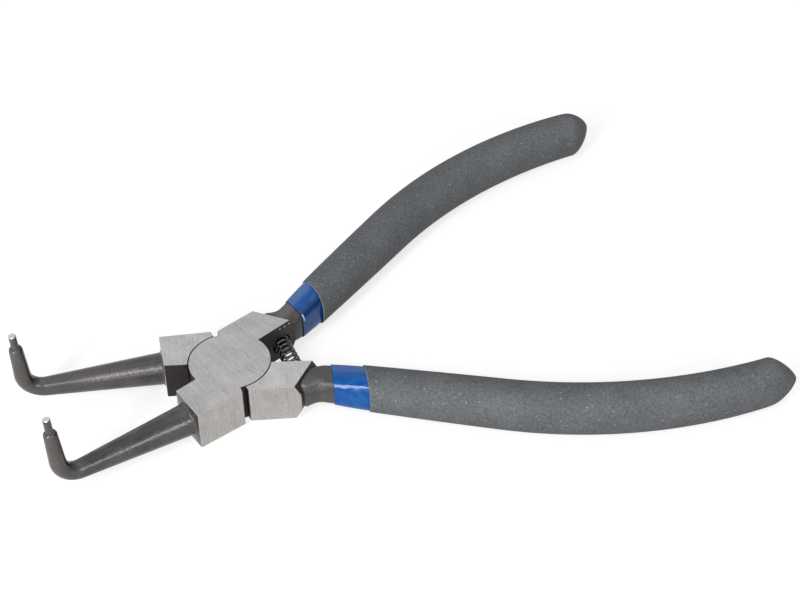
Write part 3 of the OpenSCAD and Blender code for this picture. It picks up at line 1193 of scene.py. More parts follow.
@dataclass(frozen=True)
class HandleAxis:
    """Middle line of a handle: straight from the head, then bowed back towards the other handle.

    Attributes:
        root: Where it leaves the head.
        z: Its height.
        angle: Its heading there, out from the tool's middle.
        straight: Length of the straight part.
        bow_r: Radius of the bow.
    """

    root: Flat = (18.4, 5.05)
    z: float = 5.2
    angle: float = 17.8
    straight: float = 45.0
    bow_r: float = 109.0

    def turn(self, s: float) -> float:
        """Heading at a distance along the handle, in radians."""
        return math.radians(self.angle) - max(0.0, s - self.straight) / self.bow_r

    def point(self, s: float) -> np.ndarray:
        """Point at a distance along the handle.

        Args:
            s: Distance along the handle.

        Returns:
            The point, in millimetres.
        """
        start = math.radians(self.angle)
        turn = self.turn(s)
        run = min(s, self.straight)
        x = self.root[0] + run * math.cos(start) + self.bow_r * (math.sin(start) - math.sin(turn))
        y = self.root[1] + run * math.sin(start) + self.bow_r * (math.cos(turn) - math.cos(start))
        return np.array([x, y, self.z])

    def ring(
        self, s: float, w: float, h: float, square: float, shift: float, sides: int
    ) -> np.ndarray:
        """Rounded section across the handle.

        Args:
            s: Distance along the handle.
            w: Half width.
            h: Half height.
            square: 2 gives an ellipse, and more a squarer section.
            shift: Distance to the outer side.
            sides: Number of points.

        Returns:
            The section's points, in millimetres.
        """
        angles = around(sides)
        c, d = np.cos(angles), np.sin(angles)
        across = shift + w * np.sign(c) * np.abs(c) ** (2 / square)
        up = h * np.sign(d) * np.abs(d) ** (2 / square)
        turn = self.turn(s)
        flat = np.column_stack([-across * math.sin(turn), across * math.cos(turn), up])
        return self.point(s) + flat


@dataclass(frozen=True)
class Tang:
    """Steel of a handle, from the head to its rounded end."""

    axis: HandleAxis = field(default_factory=HandleAxis)
    length: float = 105.0
    width: Rule = Rule(3.43, 4.05, 2.6, 0.0, 105.0)
    height: Rule = Rule(3.37, 4.6, 3.2, 0.0, 105.0)
    shank_square: float = 5.0
    square: float = 3.0
    square_l: float = 13.05
    dome_square: float = 1.7
    dome_l: float = 1.6
    fillet: float = 1.8
    fillet_rise: float = 0.25
    tuck: float = 1.6
    bury: float = 2.0
    sides: int = 72
    fillet_steps: int = 13
    body_steps: int = 46
    dome_steps: int = 7
    dome_turn: float = 80.0

    def form(self, s: float) -> float:
        """Squareness of the section at a distance along the handle."""
        share = min(1.0, max(0.0, s) / self.square_l)
        return self.shank_square + (self.square - self.shank_square) * share

    def dome(self, t: float) -> float:
        """Share of the section left at a share of the rounded end's length."""
        return rounded(t, self.dome_square)

    def mesh(self) -> bpy.types.Mesh:
        """Closed mesh of the shank and the tang.

        Returns:
            The closed mesh, in millimetres.
        """
        foot = 2 * self.fillet
        rings = [self._ring(-self.bury, 1.0, 1.0)]
        for a in np.linspace(0, math.pi / 2, self.fillet_steps)[:-1]:
            rings.append(self._ring(foot * math.sin(a), (1 - math.sin(a)) ** 2, 1.0))
        for s in np.linspace(foot, self.length - self.dome_l, self.body_steps):
            rings.append(self._ring(s, 0.0, 1.0))
        for a in np.linspace(0, math.radians(self.dome_turn), self.dome_steps)[1:]:
            t = math.sin(a)
            rings.append(self._ring(self.length - self.dome_l * (1 - t), 0.0, self.dome(t)))
        return loft("tang", rings, [Skin.OXIDE] * (len(rings) + 1))

    def _ring(self, s: float, left: float, shrink: float) -> np.ndarray:
        """Section of the tang.

        Args:
            s: Distance along the handle.
            left: Share left of the fillet on the outer side and of the tuck on the inner side.
            shrink: Share of the full section.

        Returns:
            The section's points, in millimetres.
        """
        grow, tuck = self.fillet * left, self.tuck * left
        w = (self.width.at(s) + (grow - tuck) / 2) * shrink
        h = (self.height.at(s) + grow * self.fillet_rise) * shrink
        return self.axis.ring(s, w, h, self.form(s), (grow + tuck) / 2, self.sides)


@dataclass(frozen=True)
class Jaw:
    """Round tapered jaw, bent up at its end, with a stepped tip pin."""

    root: Spot = (-15.6, -5.35, 4.75)
    lean: float = 4.5
    length: float = 27.2
    root_r: float = 3.85
    bend_start_r: float = 2.25
    shoulder_end_r: float = 1.6
    bend_r: float = 5.1
    bend_angle: float = 87.5
    post_lean: float = 3.0
    post_l: float = 8.9
    fillet: float = 0.6
    bury: float = 2.0
    shoulder_w: float = 0.6
    shoulder_h: float = 1.0
    pin_r: float = 0.9
    pin_l: float = 3.8
    pin_fillet: float = 0.08
    pin_chamfer: float = 0.10
    sides: int = 64
    fillet_steps: int = 10
    taper_steps: int = 30
    bend_steps: int = 29
    post_steps: int = 9
    shoulder_steps: int = 8
    pin_steps: int = 5

    @property
    def bend_l(self) -> float:
        """Length of the bend along the jaw's axis."""
        return self.bend_r * math.radians(self.bend_angle)

    @property
    def shoulder_s(self) -> float:
        """Distance along the jaw to the shoulder below the pin."""
        return self.length + self.bend_l + self.post_l

    def radius(self, s: float) -> float:
        """Radius at a distance along the jaw.

        Args:
            s: Distance along the jaw.

        Returns:
            The radius.
        """
        if s < self.length:
            return self.root_r + (self.bend_start_r - self.root_r) * s / self.length
        share = (s - self.length) / (self.shoulder_s - self.length)
        return self.bend_start_r + (self.shoulder_end_r - self.bend_start_r) * share

    def ring(self, s: float, r: float) -> np.ndarray:
        """Circle round the jaw's axis at a distance along it.

        Args:
            s: Distance along the jaw.
            r: Radius of the circle.

        Returns:
            The circle's points, in millimetres.
        """
        lean, tilt = math.radians(self.lean), math.radians(self.post_lean)
        out = np.array([-math.cos(lean), math.sin(lean), 0.0])
        side = np.array([-math.sin(lean), -math.cos(lean), 0.0])
        up = np.array([0.0, 0.0, 1.0])
        bend = math.cos(tilt) * up - math.sin(tilt) * side
        flank = math.sin(tilt) * up + math.cos(tilt) * side
        rise = min(math.radians(self.bend_angle), max(0.0, s - self.length) / self.bend_r)
        past = max(0.0, s - self.length - self.bend_l)
        reach = min(s, self.length) + self.bend_r * math.sin(rise) + past * math.cos(rise)
        lift = self.bend_r * (1 - math.cos(rise)) + past * math.sin(rise)
        middle = np.array(self.root) + reach * out + lift * bend
        across = -math.sin(rise) * out + math.cos(rise) * bend
        angles = around(self.sides)
        return middle + r * (np.outer(np.cos(angles), flank) + np.outer(np.sin(angles), across))

    def profile(self) -> list[Flat]:
        """Distance along the jaw and radius of each ring, from in the block to the pin's end.

        Returns:
            A distance and a radius for each ring.
        """
        rows = [(-self.bury, self.root_r + self.fillet)]
        for a in np.linspace(0, math.pi / 2, self.fillet_steps):
            s = self.fillet * math.sin(a)
            rows.append((s, self.radius(s) + self.fillet * (1 - math.sin(a)) ** 2))
        bend = self.length + self.bend_l
        stretches = (
            (self.fillet, self.length, self.taper_steps),
            (self.length, bend, self.bend_steps),
            (bend, self.shoulder_s - self.shoulder_h, self.post_steps),
        )
        for stretch in stretches:
            rows += [(s, self.radius(s)) for s in np.linspace(*stretch)[1:]]
        for a in np.linspace(0, math.pi / 2, self.shoulder_steps)[1:]:
            s = self.shoulder_s - self.shoulder_h * (1 - math.sin(a))
            rows.append((s, self.radius(s) - self.shoulder_w * (1 - math.cos(a))))
        for a in np.linspace(0, math.pi / 2, self.pin_steps):
            s = self.shoulder_s + self.pin_fillet * (1 - math.cos(a))
            rows.append((s, self.pin_r + self.pin_fillet * (1 - math.sin(a))))
        tip = self.shoulder_s + self.pin_l
        rows.append((tip - self.pin_chamfer, self.pin_r))
        rows.append((tip, self.pin_r - self.pin_chamfer))
        return rows

    def mesh(self) -> bpy.types.Mesh:
        """Closed mesh of the jaw and its pin, with the pin's cut end bare.

        Returns:
            The closed mesh, in millimetres.
        """
        rows = self.profile()
        skins = [Skin.OXIDE] * (len(rows) - 1) + [Skin.BARE] * 2
        return loft("jaw", [self.ring(s, r) for s, r in rows], skins)


@dataclass(frozen=True)
class ForgedHalf:
    """One forged half: jaw, head with its lap cheek, and tang."""

    side: Side
    head_t: float = HEAD_T
    cheek_r: float = 9.5
    lap_gap: float = 0.1
    rim_gap: float = 0.3
    edge: float = 0.004
    corner: float = 0.10
    jaw_side: float = 10.8
    jaw_block_l: float = 15.6
    jaw_face: float = 0.2
    jaw_end_face: float = 0.6
    handle_side: float = 10.4
    handle_side_end: float = 11.0
    handle_face: float = 1.8
    flare_y: float = 2.7
    handle_block_l: float = 19.0
    end_slope: float = 4.8
    bevel_l: float = 1.25
    bevel_h: float = 2.8
    stop_angle: float = 19.5
    rivet_r: float = RIVET_R
    rivet_head_r: float = RIVET_HEAD_R
    rivet_clearance: float = 0.02
    pocket_r: float = 2.55
    pocket_reach: float = 10.1
    pocket_sides: int = 72
    over: float = 1.0
    core: float = 0.25
    weld: float = 1e-4
    plane_angle: float = 0.05
    jaw: Jaw = field(default_factory=Jaw)
    tang: Tang = field(default_factory=Tang)

    @property
    def lap_z(self) -> float:
        """Height of the lap between the cheeks."""
        return self.head_t / 2

    def jaw_block(self) -> bpy.types.Mesh:
        """Block that carries the jaw, with its stop shoulder.

        Returns:
            The closed mesh, in millimetres.
        """
        lean = math.tan(math.radians(self.jaw.lean))
        root_y = -self.jaw.root[1]
        stop = (-self.jaw_side * math.tan(math.radians(self.stop_angle)), -self.jaw_side)
        face = (-self.cheek_r, -self.jaw_face)
        inner_end = (-self.jaw_block_l + (root_y - self.jaw_end_face) * lean, -self.jaw_end_face)
        outer_end = (-self.jaw_block_l - (self.jaw_side - root_y) * lean, -self.jaw_side)
        corners = (
            Corner(self._core(stop), Skin.BLACKED),
            Corner(self._core(face), Skin.BLACKED),
            Corner(face, Skin.BLACKED),
            Corner(inner_end, Skin.OXIDE, self.corner),
            Corner(outer_end, Skin.MILLED, self.corner),
            Corner(stop, Skin.BLACKED, self.corner),
        )
        return Block("jaw_block", corners, self.head_t, self.edge).mesh()

    def handle_block(self) -> bpy.types.Mesh:
        """Block that carries the handle, before its end is bevelled.

        Returns:
            The closed mesh, in millimetres.
        """
        reach = self.handle_block_l + 2 * self.bevel_l + self.over
        stop = (self.handle_side * math.tan(math.radians(self.stop_angle)), self.handle_side)
        face = (self.cheek_r, self.handle_face)
        corners = (
            Corner(self._core(stop), Skin.BLACKED),
            Corner(self._core(face), Skin.BLACKED),
            Corner(face, Skin.BLACKED),
            Corner((self.handle_block_l, self.flare_y), Skin.BLACKED),
            Corner((reach, self.flare_y), Skin.BLACKED),
            Corner((reach, self.handle_side_end), Skin.MILLED),
            Corner((self.handle_block_l - self.end_slope, self.handle_side_end), Skin.MILLED),
            Corner(stop, Skin.BLACKED, self.corner),
        )
        return Block("handle_block", corners, self.head_t, self.edge).mesh()

    def _core(self, point: Flat) -> Flat:
        """Point near the pivot, on the line to another, where the cheek hides the block's start."""
        return (point[0] * self.core, point[1] * self.core)

    def bevel(self) -> bpy.types.Mesh:
        """Prism that the handle block is cut to, bevelled where the shank leaves it.

        Returns:
            The closed mesh, in millimetres.
        """
        turn = math.atan2(self.end_slope, self.handle_side_end - self.flare_y)
        ahead = np.array([math.cos(turn), math.sin(turn), 0.0])
        beside = np.array([-math.sin(turn), math.cos(turn), 0.0])
        start = np.array([self.handle_block_l, self.flare_y, 0.0])
        back, wide, high = 2 * self.handle_block_l, 2 * self.handle_block_l, self.head_t
        profile = [
            (-back, -self.over),
            (-self.bevel_l * self.over / self.bevel_h, -self.over),
            (0.0, 0.0),
            (self.bevel_l, self.bevel_h),
            (self.bevel_l, high - self.bevel_h),
            (0.0, high),
            (-self.bevel_l * self.over / self.bevel_h, high + self.over),
            (-back, high + self.over),
        ]
        rings = [
            np.array([start + x * ahead + (0.0, 0.0, z) + side * wide * beside for x, z in profile])
            for side in (-1, 1)
        ]
        return loft("bevel", rings, [Skin.BLACKED] * (len(rings) + 1))

    def cheek(self) -> bpy.types.Mesh:
        """Round cheek with a broken outer edge, left deep for the recess cut to trim.

        Returns:
            The closed mesh, in millimetres.
        """
        low, high = self.lap_z - self.over, self.head_t
        profile = [
            (self.cheek_r, low),
            (self.cheek_r, high - self.edge),
            (self.cheek_r - self.edge, high),
        ]
        return self._levelled(turned("cheek", profile, Skin.BLACKED, bright=(2, 3)))

    def recess(self) -> bpy.types.Mesh:
        """Cutter for the other half's cheek, flared at the mouth.

        Returns:
            The closed mesh, in millimetres.
        """
        r = self.cheek_r + self.rim_gap
        floor = self.lap_z + self.lap_gap / 2
        profile = [
            (r + self.edge + self.over, -self.over),
            (r, self.edge),
            (r, floor),
        ]
        return self._levelled(turned("recess", profile, Skin.BLACKED, bright=(1,)))

    def _levelled(self, mesh: bpy.types.Mesh) -> bpy.types.Mesh:
        """Turns a mesh that is drawn for the upper half over, where this is the lower one.

        Args:
            mesh: The mesh, which is changed in place.

        Returns:
            The same mesh.
        """
        if self.side is Side.LOWER:
            over = Matrix.Diagonal((1, 1, -1, 1))
            mesh.transform(Matrix.Translation((0, 0, self.head_t)) @ over)
            mesh.flip_normals()
        return mesh

    def bore(self) -> bpy.types.Mesh:
        """Cutter for the rivet, with a countersink at both ends.

        Returns:
            The closed mesh, in millimetres.
        """
        shank = self.rivet_r + self.rivet_clearance
        mouth = self.rivet_head_r + self.rivet_clearance
        sink = self.rivet_head_r - self.rivet_r
        profile = [
            (mouth, -self.over),
            (mouth, 0.0),
            (shank, sink),
            (shank, self.head_t - sink),
            (mouth, self.head_t),
            (mouth, self.head_t + self.over),
        ]
        return turned("bore", profile, Skin.BLACKED)

    def pocket(self) -> bpy.types.Mesh:
        """Cutter for the spring's blind pocket, square to the tool's middle at rest.

        Returns:
            The closed mesh, in millimetres.
        """
        wall = [(self.pocket_r, 0.0), (self.pocket_r, self.pocket_reach)]
        made = turned("pocket", wall, Skin.BLACKED, self.pocket_sides)
        laid = Matrix.Rotation(-math.pi / 2, 4, "X")
        placed = Matrix.Translation((SPRING_X, 0.0, SPRING_Z)) @ laid
        made.transform(Matrix.Rotation(math.radians(-HALF_OPEN), 4, "Z") @ placed)
        return made

    def mesh(self, finishes: Sequence[bpy.types.Material]) -> bpy.types.Mesh:
        """Closed mesh of the half, at rest and in metres.

        Args:
            finishes: Materials in the order of Skin.

        Returns:
            The mesh with its slots filled.
        """
        flared = Workpiece(self.handle_block(), finishes)
        flared.work(Work.TRIM, self.bevel())
        piece = Workpiece(self.jaw_block(), finishes)
        for part in (flared.take(), self.cheek(), self.jaw.mesh(), self.tang.mesh()):
            piece.work(Work.JOIN, part)
        for cutter in (self.recess(), self.bore(), self.pocket()):
            piece.work(Work.CUT, cutter)
        made = piece.take()
        self._clean(made)
        made.transform(self.side.at_rest)
        if self.side is Side.LOWER:
            made.flip_normals()
        made.shade_smooth()
        made.set_sharp_from_angle(angle=CRISP)
        return made

    def _clean(self, mesh: bpy.types.Mesh) -> None:
        """Merges doubles and joins faces that lie in one plane and share a finish.

        Args:
            mesh: The mesh, which is changed in place.
        """
        work = bmesh.new()
        work.from_mesh(mesh)
        bmesh.ops.remove_doubles(work, verts=work.verts, dist=self.weld)
        bmesh.ops.dissolve_degenerate(work, edges=work.edges, dist=self.weld)
        bmesh.ops.dissolve_limit(
            work,
            angle_limit=math.radians(self.plane_angle),
            verts=work.verts,
            edges=work.edges,
            delimit={"MATERIAL"},
        )
        work.to_mesh(mesh)
        work.free()

    def dress(self, finishes: Sequence[bpy.types.Material]) -> bpy.types.Object:
        """Makes the half's piece and hangs it on its body.

        Args:
            finishes: Materials in the order of Skin.

        Returns:
            The finished piece.
        """
        made = new_object(f"{self.side.value}_forging", self.mesh(finishes))
        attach(made, self.side.body)
        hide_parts(f"{self.side.value}_half")
        return made


@dataclass(frozen=True)
class FlushRivet:
    """Rivet through both cheeks, ground flush with them."""

    head_t: float = HEAD_T
    rivet_r: float = RIVET_R
    head_r: float = RIVET_HEAD_R
    edge: float = 0.005

    def mesh(self) -> bpy.types.Mesh:
        """Closed mesh of the rivet, in metres.

        Returns:
            The mesh.
        """
        sink = self.head_r - self.rivet_r
        profile = [
            (self.head_r - self.edge, 0.0),
            (self.head_r - self.edge, self.edge),
            (self.rivet_r, sink),
            (self.rivet_r, self.head_t - sink),
            (self.head_r - self.edge, self.head_t - self.edge),
            (self.head_r - self.edge, self.head_t),
        ]
        made = turned("rivet", profile, Skin.GROUND)
        made.transform(Matrix.Scale(MM, 4))
        made.shade_smooth()
        made.set_sharp_from_angle(angle=CRISP)
        return made

    def dress(self, finish: bpy.types.Material) -> bpy.types.Object:
        """Makes the rivet's piece and hangs it on the lower half.

        Args:
            finish: The rivet's material.

        Returns:
            The finished piece.
        """
        mesh = self.mesh()
        mesh.materials.append(finish)
        made = new_object("flush_rivet", mesh)
        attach(made, Side.LOWER.body)
        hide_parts("pivot_rivet")
        return made


class GeometryTree(Tree):
    """A geometry node tree with named inputs that shapes one object."""

    def __init__(self, name: str, inputs: Sequence[tuple[str, str]]) -> None:
        """Makes the tree's interface.

        Args:
            name: Name of the tree.
            inputs: Name and socket type of each input.
        """
        super().__init__(bpy.data.node_groups.new(name, "GeometryNodeTree"))
        self.keys: dict[str, str] = {}
        for label, kind in inputs:
            item = self.tree.interface.new_socket(label, in_out="INPUT", socket_type=kind)
            self.keys[label] = item.identifier
        shape = "NodeSocketGeometry"
        self.tree.interface.new_socket("Geometry", in_out="OUTPUT", socket_type=shape)
        self.given = self.add("NodeGroupInput")

    def read(self, label: str) -> Val:
        """One of the tree's named inputs."""
        return self.given.also(label)

    def close(self, shape: Val) -> None:
        """Ends the tree: smooth shading, real instances and the finish from the Material input.

        Args:
            shape: The finished shape.
        """
        smooth = self.add("GeometryNodeSetShadeSmooth", None, {"Geometry": shape})
        real = self.add("GeometryNodeRealizeInstances", None, {"Geometry": smooth})
        sockets = {"Geometry": real, "Material": self.read("Material")}
        dressed = self.add("GeometryNodeSetMaterial", None, sockets)
        self.add("NodeGroupOutput", None, {"Geometry": dressed})

    def shape(self, obj: bpy.types.Object, values: dict[str, Any]) -> bpy.types.Mesh:
        """Runs the tree on an object.

        Args:
            obj: The object whose mesh the tree starts from.
            values: Values of the tree's named inputs.

        Returns:
            The object's new plain mesh.
        """
        run = obj.modifiers.new(self.tree.name, "NODES")
        run.node_group = self.tree
        for label, value in values.items():
            run[self.keys[label]] = value
        return evaluated_mesh(obj)


class CoatTree(GeometryTree):
    """Sweeps a rounded section along a rail whose points carry the section's sizes."""

    def __init__(self) -> None:
        """Writes the sweep."""
        super().__init__("coat_sweep", [
            ("Geometry", "NodeSocketGeometry"),
            ("Sides", "NodeSocketInt"),
            ("Weld", "NodeSocketFloat"),
            ("Material", "NodeSocketMaterial"),
        ])
        sides = self.read("Sides")
        rail = self.add("GeometryNodeMeshToCurve", None, {"Mesh": self.read("Geometry")})
        circle = self.add("GeometryNodeCurvePrimitiveCircle", None, {"Resolution": sides})
        angle = self.add("GeometryNodeInputIndex") * (2 * math.pi) / sides
        settings = {"data_type": "FLOAT", "domain": "POINT"}
        sockets = {"Geometry": circle, "Name": "round", "Value": angle}
        section = self.add("GeometryNodeStoreNamedAttribute", settings, sockets)
        skin = self.add("GeometryNodeCurveToMesh", None, {"Curve": rail, "Profile Curve": section})
        turn, place_round = self.named("turn"), self.named("round")
        power = 2 / self.named("squareness")
        wide = self.named("half_width") * self.bulge(place_round.math("COSINE"), power)
        across = self.named("shift") + wide
        up = self.named("half_height") * self.bulge(place_round.math("SINE"), power)
        ahead = across * self.named("lean")
        sine, cosine = turn.math("SINE"), turn.math("COSINE")
        offset = self.combine(ahead * cosine - across * sine, ahead * sine + across * cosine, up)
        place = self.vector("ADD", self.named("centre", "FLOAT_VECTOR"), offset)
        moved = self.add("GeometryNodeSetPosition", None, {"Geometry": skin, "Position": place})
        sockets = {"Geometry": moved, "Distance": self.read("Weld")}
        self.close(self.add("GeometryNodeMergeByDistance", None, sockets))

    def named(self, name: str, kind: str = "FLOAT") -> Val:
        """Value that the points carry under a name."""
        return self.add("GeometryNodeInputNamedAttribute", {"data_type": kind}, {"Name": name})

    @staticmethod
    def bulge(value: Val, power: Val) -> Val:
        """Signed power of a sine or cosine, which squares a circle up."""
        return value.math("SIGN") * abs(value) ** power


@dataclass(frozen=True)
class Station:
    """One section of a coat.

    Attributes:
        s: Distance along the handle.
        w: Half width.
        h: Half height.
        square: Squareness.
        shift: Distance to the outer side.
    """

    s: float
    w: float
    h: float
    square: float
    shift: float = 0.0


@dataclass(frozen=True)
class Coat:
    """A hollow coat of a handle, closed at its end, with a rounded lip at its mouth.

    Attributes:
        side: The handle's side.
        name: Name of the piece.
        node: CAD node that the piece replaces.
        slot: Slot of its material; not used.
        start: Distance along the handle to the mouth.
        end: Distance along the handle to the end.
        width: Half width along the handle.
        height: Half height along the handle.
        square: Squareness of the section, or 0 where it follows the tang.
        dome_l: Length of the rounded end.
        skew: How far the end's tip lies to the outer side.
        inner_gap: How much larger the hollow is than the tang.
        inner_end: Distance along the handle to the hollow's end.
        lip: Length of the rounded lip.
        mouth_lean: Lean of the mouth, in degrees.
        lean_l: Length over which the lean fades.
        flare: Growth of the half sizes at the mouth and after the flare.
        flare_l: Length of the flare.
        crest_l: Length over which the inner side and top round off, or 0 where the end is even.
        crest_square: Squareness of that rounding.
        spacing: Distance between sections.
        dome_steps: Number of sections on the rounded end.
        lip_steps: Number of steps round the lip.
        sides: Number of points round a section.
        weld: Distance under which points are merged, in metres.
        tang: The tang under the coat.
    """

    side: Side
    name: str
    node: str
    slot: str
    start: float
    end: float
    width: Rule
    height: Rule
    square: float
    dome_l: float
    skew: float
    inner_gap: float
    inner_end: float
    lip: float
    mouth_lean: float
    lean_l: float = 14.0
    flare: Flat = (0.0, 0.0)
    flare_l: float = 8.2
    crest_l: float = 0.0
    crest_square: float = 1.4
    spacing: float = 1.25
    dome_steps: int = 22
    lip_steps: int = 10
    sides: int = 72
    weld: float = 1e-6
    tang: Tang = field(default_factory=Tang)

    def outer(self, s: float) -> Station:
        """Outer section at a distance along the handle. Its inner side and top round off later.

        Args:
            s: Distance along the handle.

        Returns:
            The section.
        """
        shrink = self.tang.dome(self._into(s, self.end, self.dome_l))
        crest = shrink
        if self.crest_l:
            crest = rounded(self._into(s, self.end, self.crest_l), self.crest_square)
        share = min(1.0, max(0.0, s - self.start) / self.flare_l)
        grow = self.flare[0] + (self.flare[1] - self.flare[0]) * share
        w = self.width.at(s) + grow
        out = w * shrink + self.skew * (1 - shrink)
        back = w * crest - self.skew * (1 - crest)
        h = (self.height.at(s) + grow) * crest
        return Station(s, (out + back) / 2, h, self.form(s), (out - back) / 2)

    def inner(self, s: float) -> Station:
        """Inner section at a distance along the handle.

        Args:
            s: Distance along the handle.

        Returns:
            The section.
        """
        shrink = self.tang.dome(self._into(s, self.inner_end, self.tang.dome_l))
        w = (self.tang.width.at(s) + self.inner_gap) * shrink
        h = (self.tang.height.at(s) + self.inner_gap) * shrink
        return Station(s, w, h, self.tang.form(s))

    @staticmethod
    def _into(s: float, end: float, length: float) -> float:
        """Share of a rounded end's length that lies before a distance along the handle."""
        return max(0.0, s - end + length) / length

    def lean(self, s: float) -> float:
        """Slope of a section's lean at a distance along the handle, fading from the mouth on."""
        left = max(0.0, 1 - max(0.0, s - self.start) / self.lean_l)
        return math.tan(math.radians(self.mouth_lean)) * left

    def form(self, s: float) -> float:
        """Squareness of the outer section at a distance along the handle."""
        return self.square or self.tang.form(s)

    def stations(self) -> list[Station]:
        """Sections from the tip of the outer end, over the lip, to the tip of the hollow.

        Returns:
            The sections in order.
        """
        body = self.start + self.lip
        rows = [self.outer(s) for s in self._spread(self.end, self.dome_l, body)]
        a, b = rows[-1], self.inner(body)
        for angle in np.linspace(0, math.pi, self.lip_steps)[1:-1]:
            share = (1 - math.cos(angle)) / 2
            rows.append(Station(
                body - self.lip * math.sin(angle),
                a.w + (b.w - a.w) * share,
                a.h + (b.h - a.h) * share,
                a.square + (b.square - a.square) * share,
            ))
        hollow = self._spread(self.inner_end, self.tang.dome_l, body)
        return rows + [self.inner(s) for s in reversed(hollow)]

    def _spread(self, end: float, dome_l: float, start: float) -> list[float]:
        """Distances from a rounded end to a start, close together round the end.

        Args:
            end: The rounded end.
            dome_l: Its length.
            start: The start.

        Returns:
            The distances in order.
        """
        turns = np.linspace(math.pi / 2, 0, self.dome_steps)
        dome = [end - dome_l * (1 - math.sin(a)) for a in turns]
        straight = end - dome_l - start
        steps = max(2, round(straight / self.spacing))
        return dome + list(np.linspace(end - dome_l, start, steps + 1)[1:])

    def rail(self) -> bpy.types.Mesh:
        """Chain of points with a section's sizes on each, in metres and for the closed tool.

        Returns:
            The chain.
        """
        rows = self.stations()
        axis = self.tang.axis
        centres = np.array([axis.point(row.s) for row in rows]) * MM
        chain = [(i, i + 1) for i in range(len(rows) - 1)]
        mesh = bpy.data.meshes.new(self.name)
        mesh.from_pydata([tuple(map(float, p)) for p in centres], chain, [])
        sizes = {
            "half_width": [row.w * MM for row in rows],
            "half_height": [row.h * MM for row in rows],
            "squareness": [row.square for row in rows],
            "turn": [axis.turn(row.s) for row in rows],
            "shift": [row.shift * MM for row in rows],
            "lean": [self.lean(row.s) for row in rows],
            "mouth": [row.s - self.start for row in rows],
        }
        for name, values in sizes.items():
            mesh.attributes.new(name, "FLOAT", "POINT").data.foreach_set("value", values)
        carried = mesh.attributes.new("centre", "FLOAT_VECTOR", "POINT")
        carried.data.foreach_set("vector", centres.ravel())
        return mesh

    def dress(self, sweep: CoatTree, finish: bpy.types.Material) -> bpy.types.Object:
        """Sweeps the coat's piece and hangs it on its body.

        Args:
            sweep: The tree that makes coats.
            finish: The coat's material.

        Returns:
            The finished piece.
        """
        made = new_object(self.name, self.rail())
        mesh = sweep.shape(made, {"Sides": self.sides, "Weld": self.weld, "Material": finish})
        turn_outward(mesh)
        mesh.transform(self.side.at_rest @ Matrix.Scale(1 / MM, 4))
        if self.side is Side.LOWER:
            mesh.flip_normals()
        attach(made, self.side.body)
        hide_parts(self.node)
        return made


@dataclass(frozen=True)
class Trim:
    """How the coats of one handle start and end.

    Attributes:
        collar_late: How much later than usual the sleeve starts.
        collar_lean: Lean of the sleeve's mouth, in degrees.
        grip_early: How much earlier than usual the grip starts.
        grip_lean: Lean of the grip's mouth, in degrees.
        crest_l: Length over which the grip's inner side and top round off.
        crest_square: Squareness of that rounding.
    """

    collar_late: float
    collar_lean: float
    grip_early: float
    grip_lean: float
    crest_l: float
    crest_square: float


TRIMS = {
    Side.LOWER: Trim(
        collar_late=0.15,
        collar_lean=18.0,
        grip_early=0.0,
        grip_lean=21.0,
        crest_l=5.7,
        crest_square=1.4,
    ),
    Side.UPPER: Trim(
        collar_late=0.0,
        collar_lean=21.0,
        grip_early=0.6,
        grip_lean=26.3,
        crest_l=5.9,
        crest_square=1.5,
    ),
}


@dataclass(frozen=True)
class Handle:
    """The two coats of one handle: glossy sleeve, then soft grip."""

    side: Side
    sleeve_start: float = 4.85
    collar_l: float = 8.2
    sleeve_wall: float = 0.35
    coat_gap: float = 0.05
    grip_end_t: float = 8.3
    grip_skew: float = 1.4
    grip_width: Spot = (5.2, 5.55, 4.4)
    grip_height: Spot = (5.05, 6.0, 6.0)
    grip_square: float = 2.2
    sleeve_lip: float = 0.22
    grip_lip: float = 0.32
    flare: Flat = (-0.16, 0.24)
    dome_reach: float = 0.985
    tang: Tang = field(default_factory=Tang)

    @property
    def trim(self) -> Trim:
        """How this handle's coats start and end."""
        return TRIMS[self.side]

    def sleeve(self) -> Coat:
        """The glossy sleeve round the tang.

        Returns:
            The sleeve's coat.
        """
        tang, grow = self.tang, self.coat_gap + self.sleeve_wall
        return Coat(
            side=self.side,
            name=f"{self.side.value}_vinyl_sleeve",
            node=f"{self.side.value}_sleeve",
            slot="blue_vinyl",
            start=self.sleeve_start + self.trim.collar_late,
            end=tang.length + grow,
            width=tang.width.grown(grow),
            height=tang.height.grown(grow),
            square=0.0,
            dome_l=tang.dome_l,
            skew=0.0,
            inner_gap=self.coat_gap,
            inner_end=tang.length + self.coat_gap,
            lip=self.sleeve_lip,
            mouth_lean=self.trim.collar_lean,
            flare=self.flare,
            flare_l=self.collar_l,
        )

    def grip(self) -> Coat:
        """The soft grip round the sleeve.

        Returns:
            The grip's coat.
        """
        start = self.sleeve_start + self.collar_l - self.trim.grip_early
        hollow_end = self.tang.length + self.sleeve_wall + 2 * self.coat_gap
        finish = hollow_end + self.grip_end_t
        dome_l = self.grip_end_t * self.dome_reach
        return Coat(
            side=self.side,
            name=f"{self.side.value}_soft_grip",
            node=f"{self.side.value}_grip",
            slot="grey_grip",
            start=start,
            end=hollow_end + dome_l,
            width=Rule(*self.grip_width, start, finish),
            height=Rule(*self.grip_height, start, finish),
            square=self.grip_square,
            dome_l=dome_l,
            skew=self.grip_skew,
            inner_gap=2 * self.coat_gap + self.sleeve_wall + self.flare[1],
            inner_end=hollow_end,
            lip=self.grip_lip,
            mouth_lean=self.trim.grip_lean,
            crest_l=self.trim.crest_l,
            crest_square=self.trim.crest_square,
        )


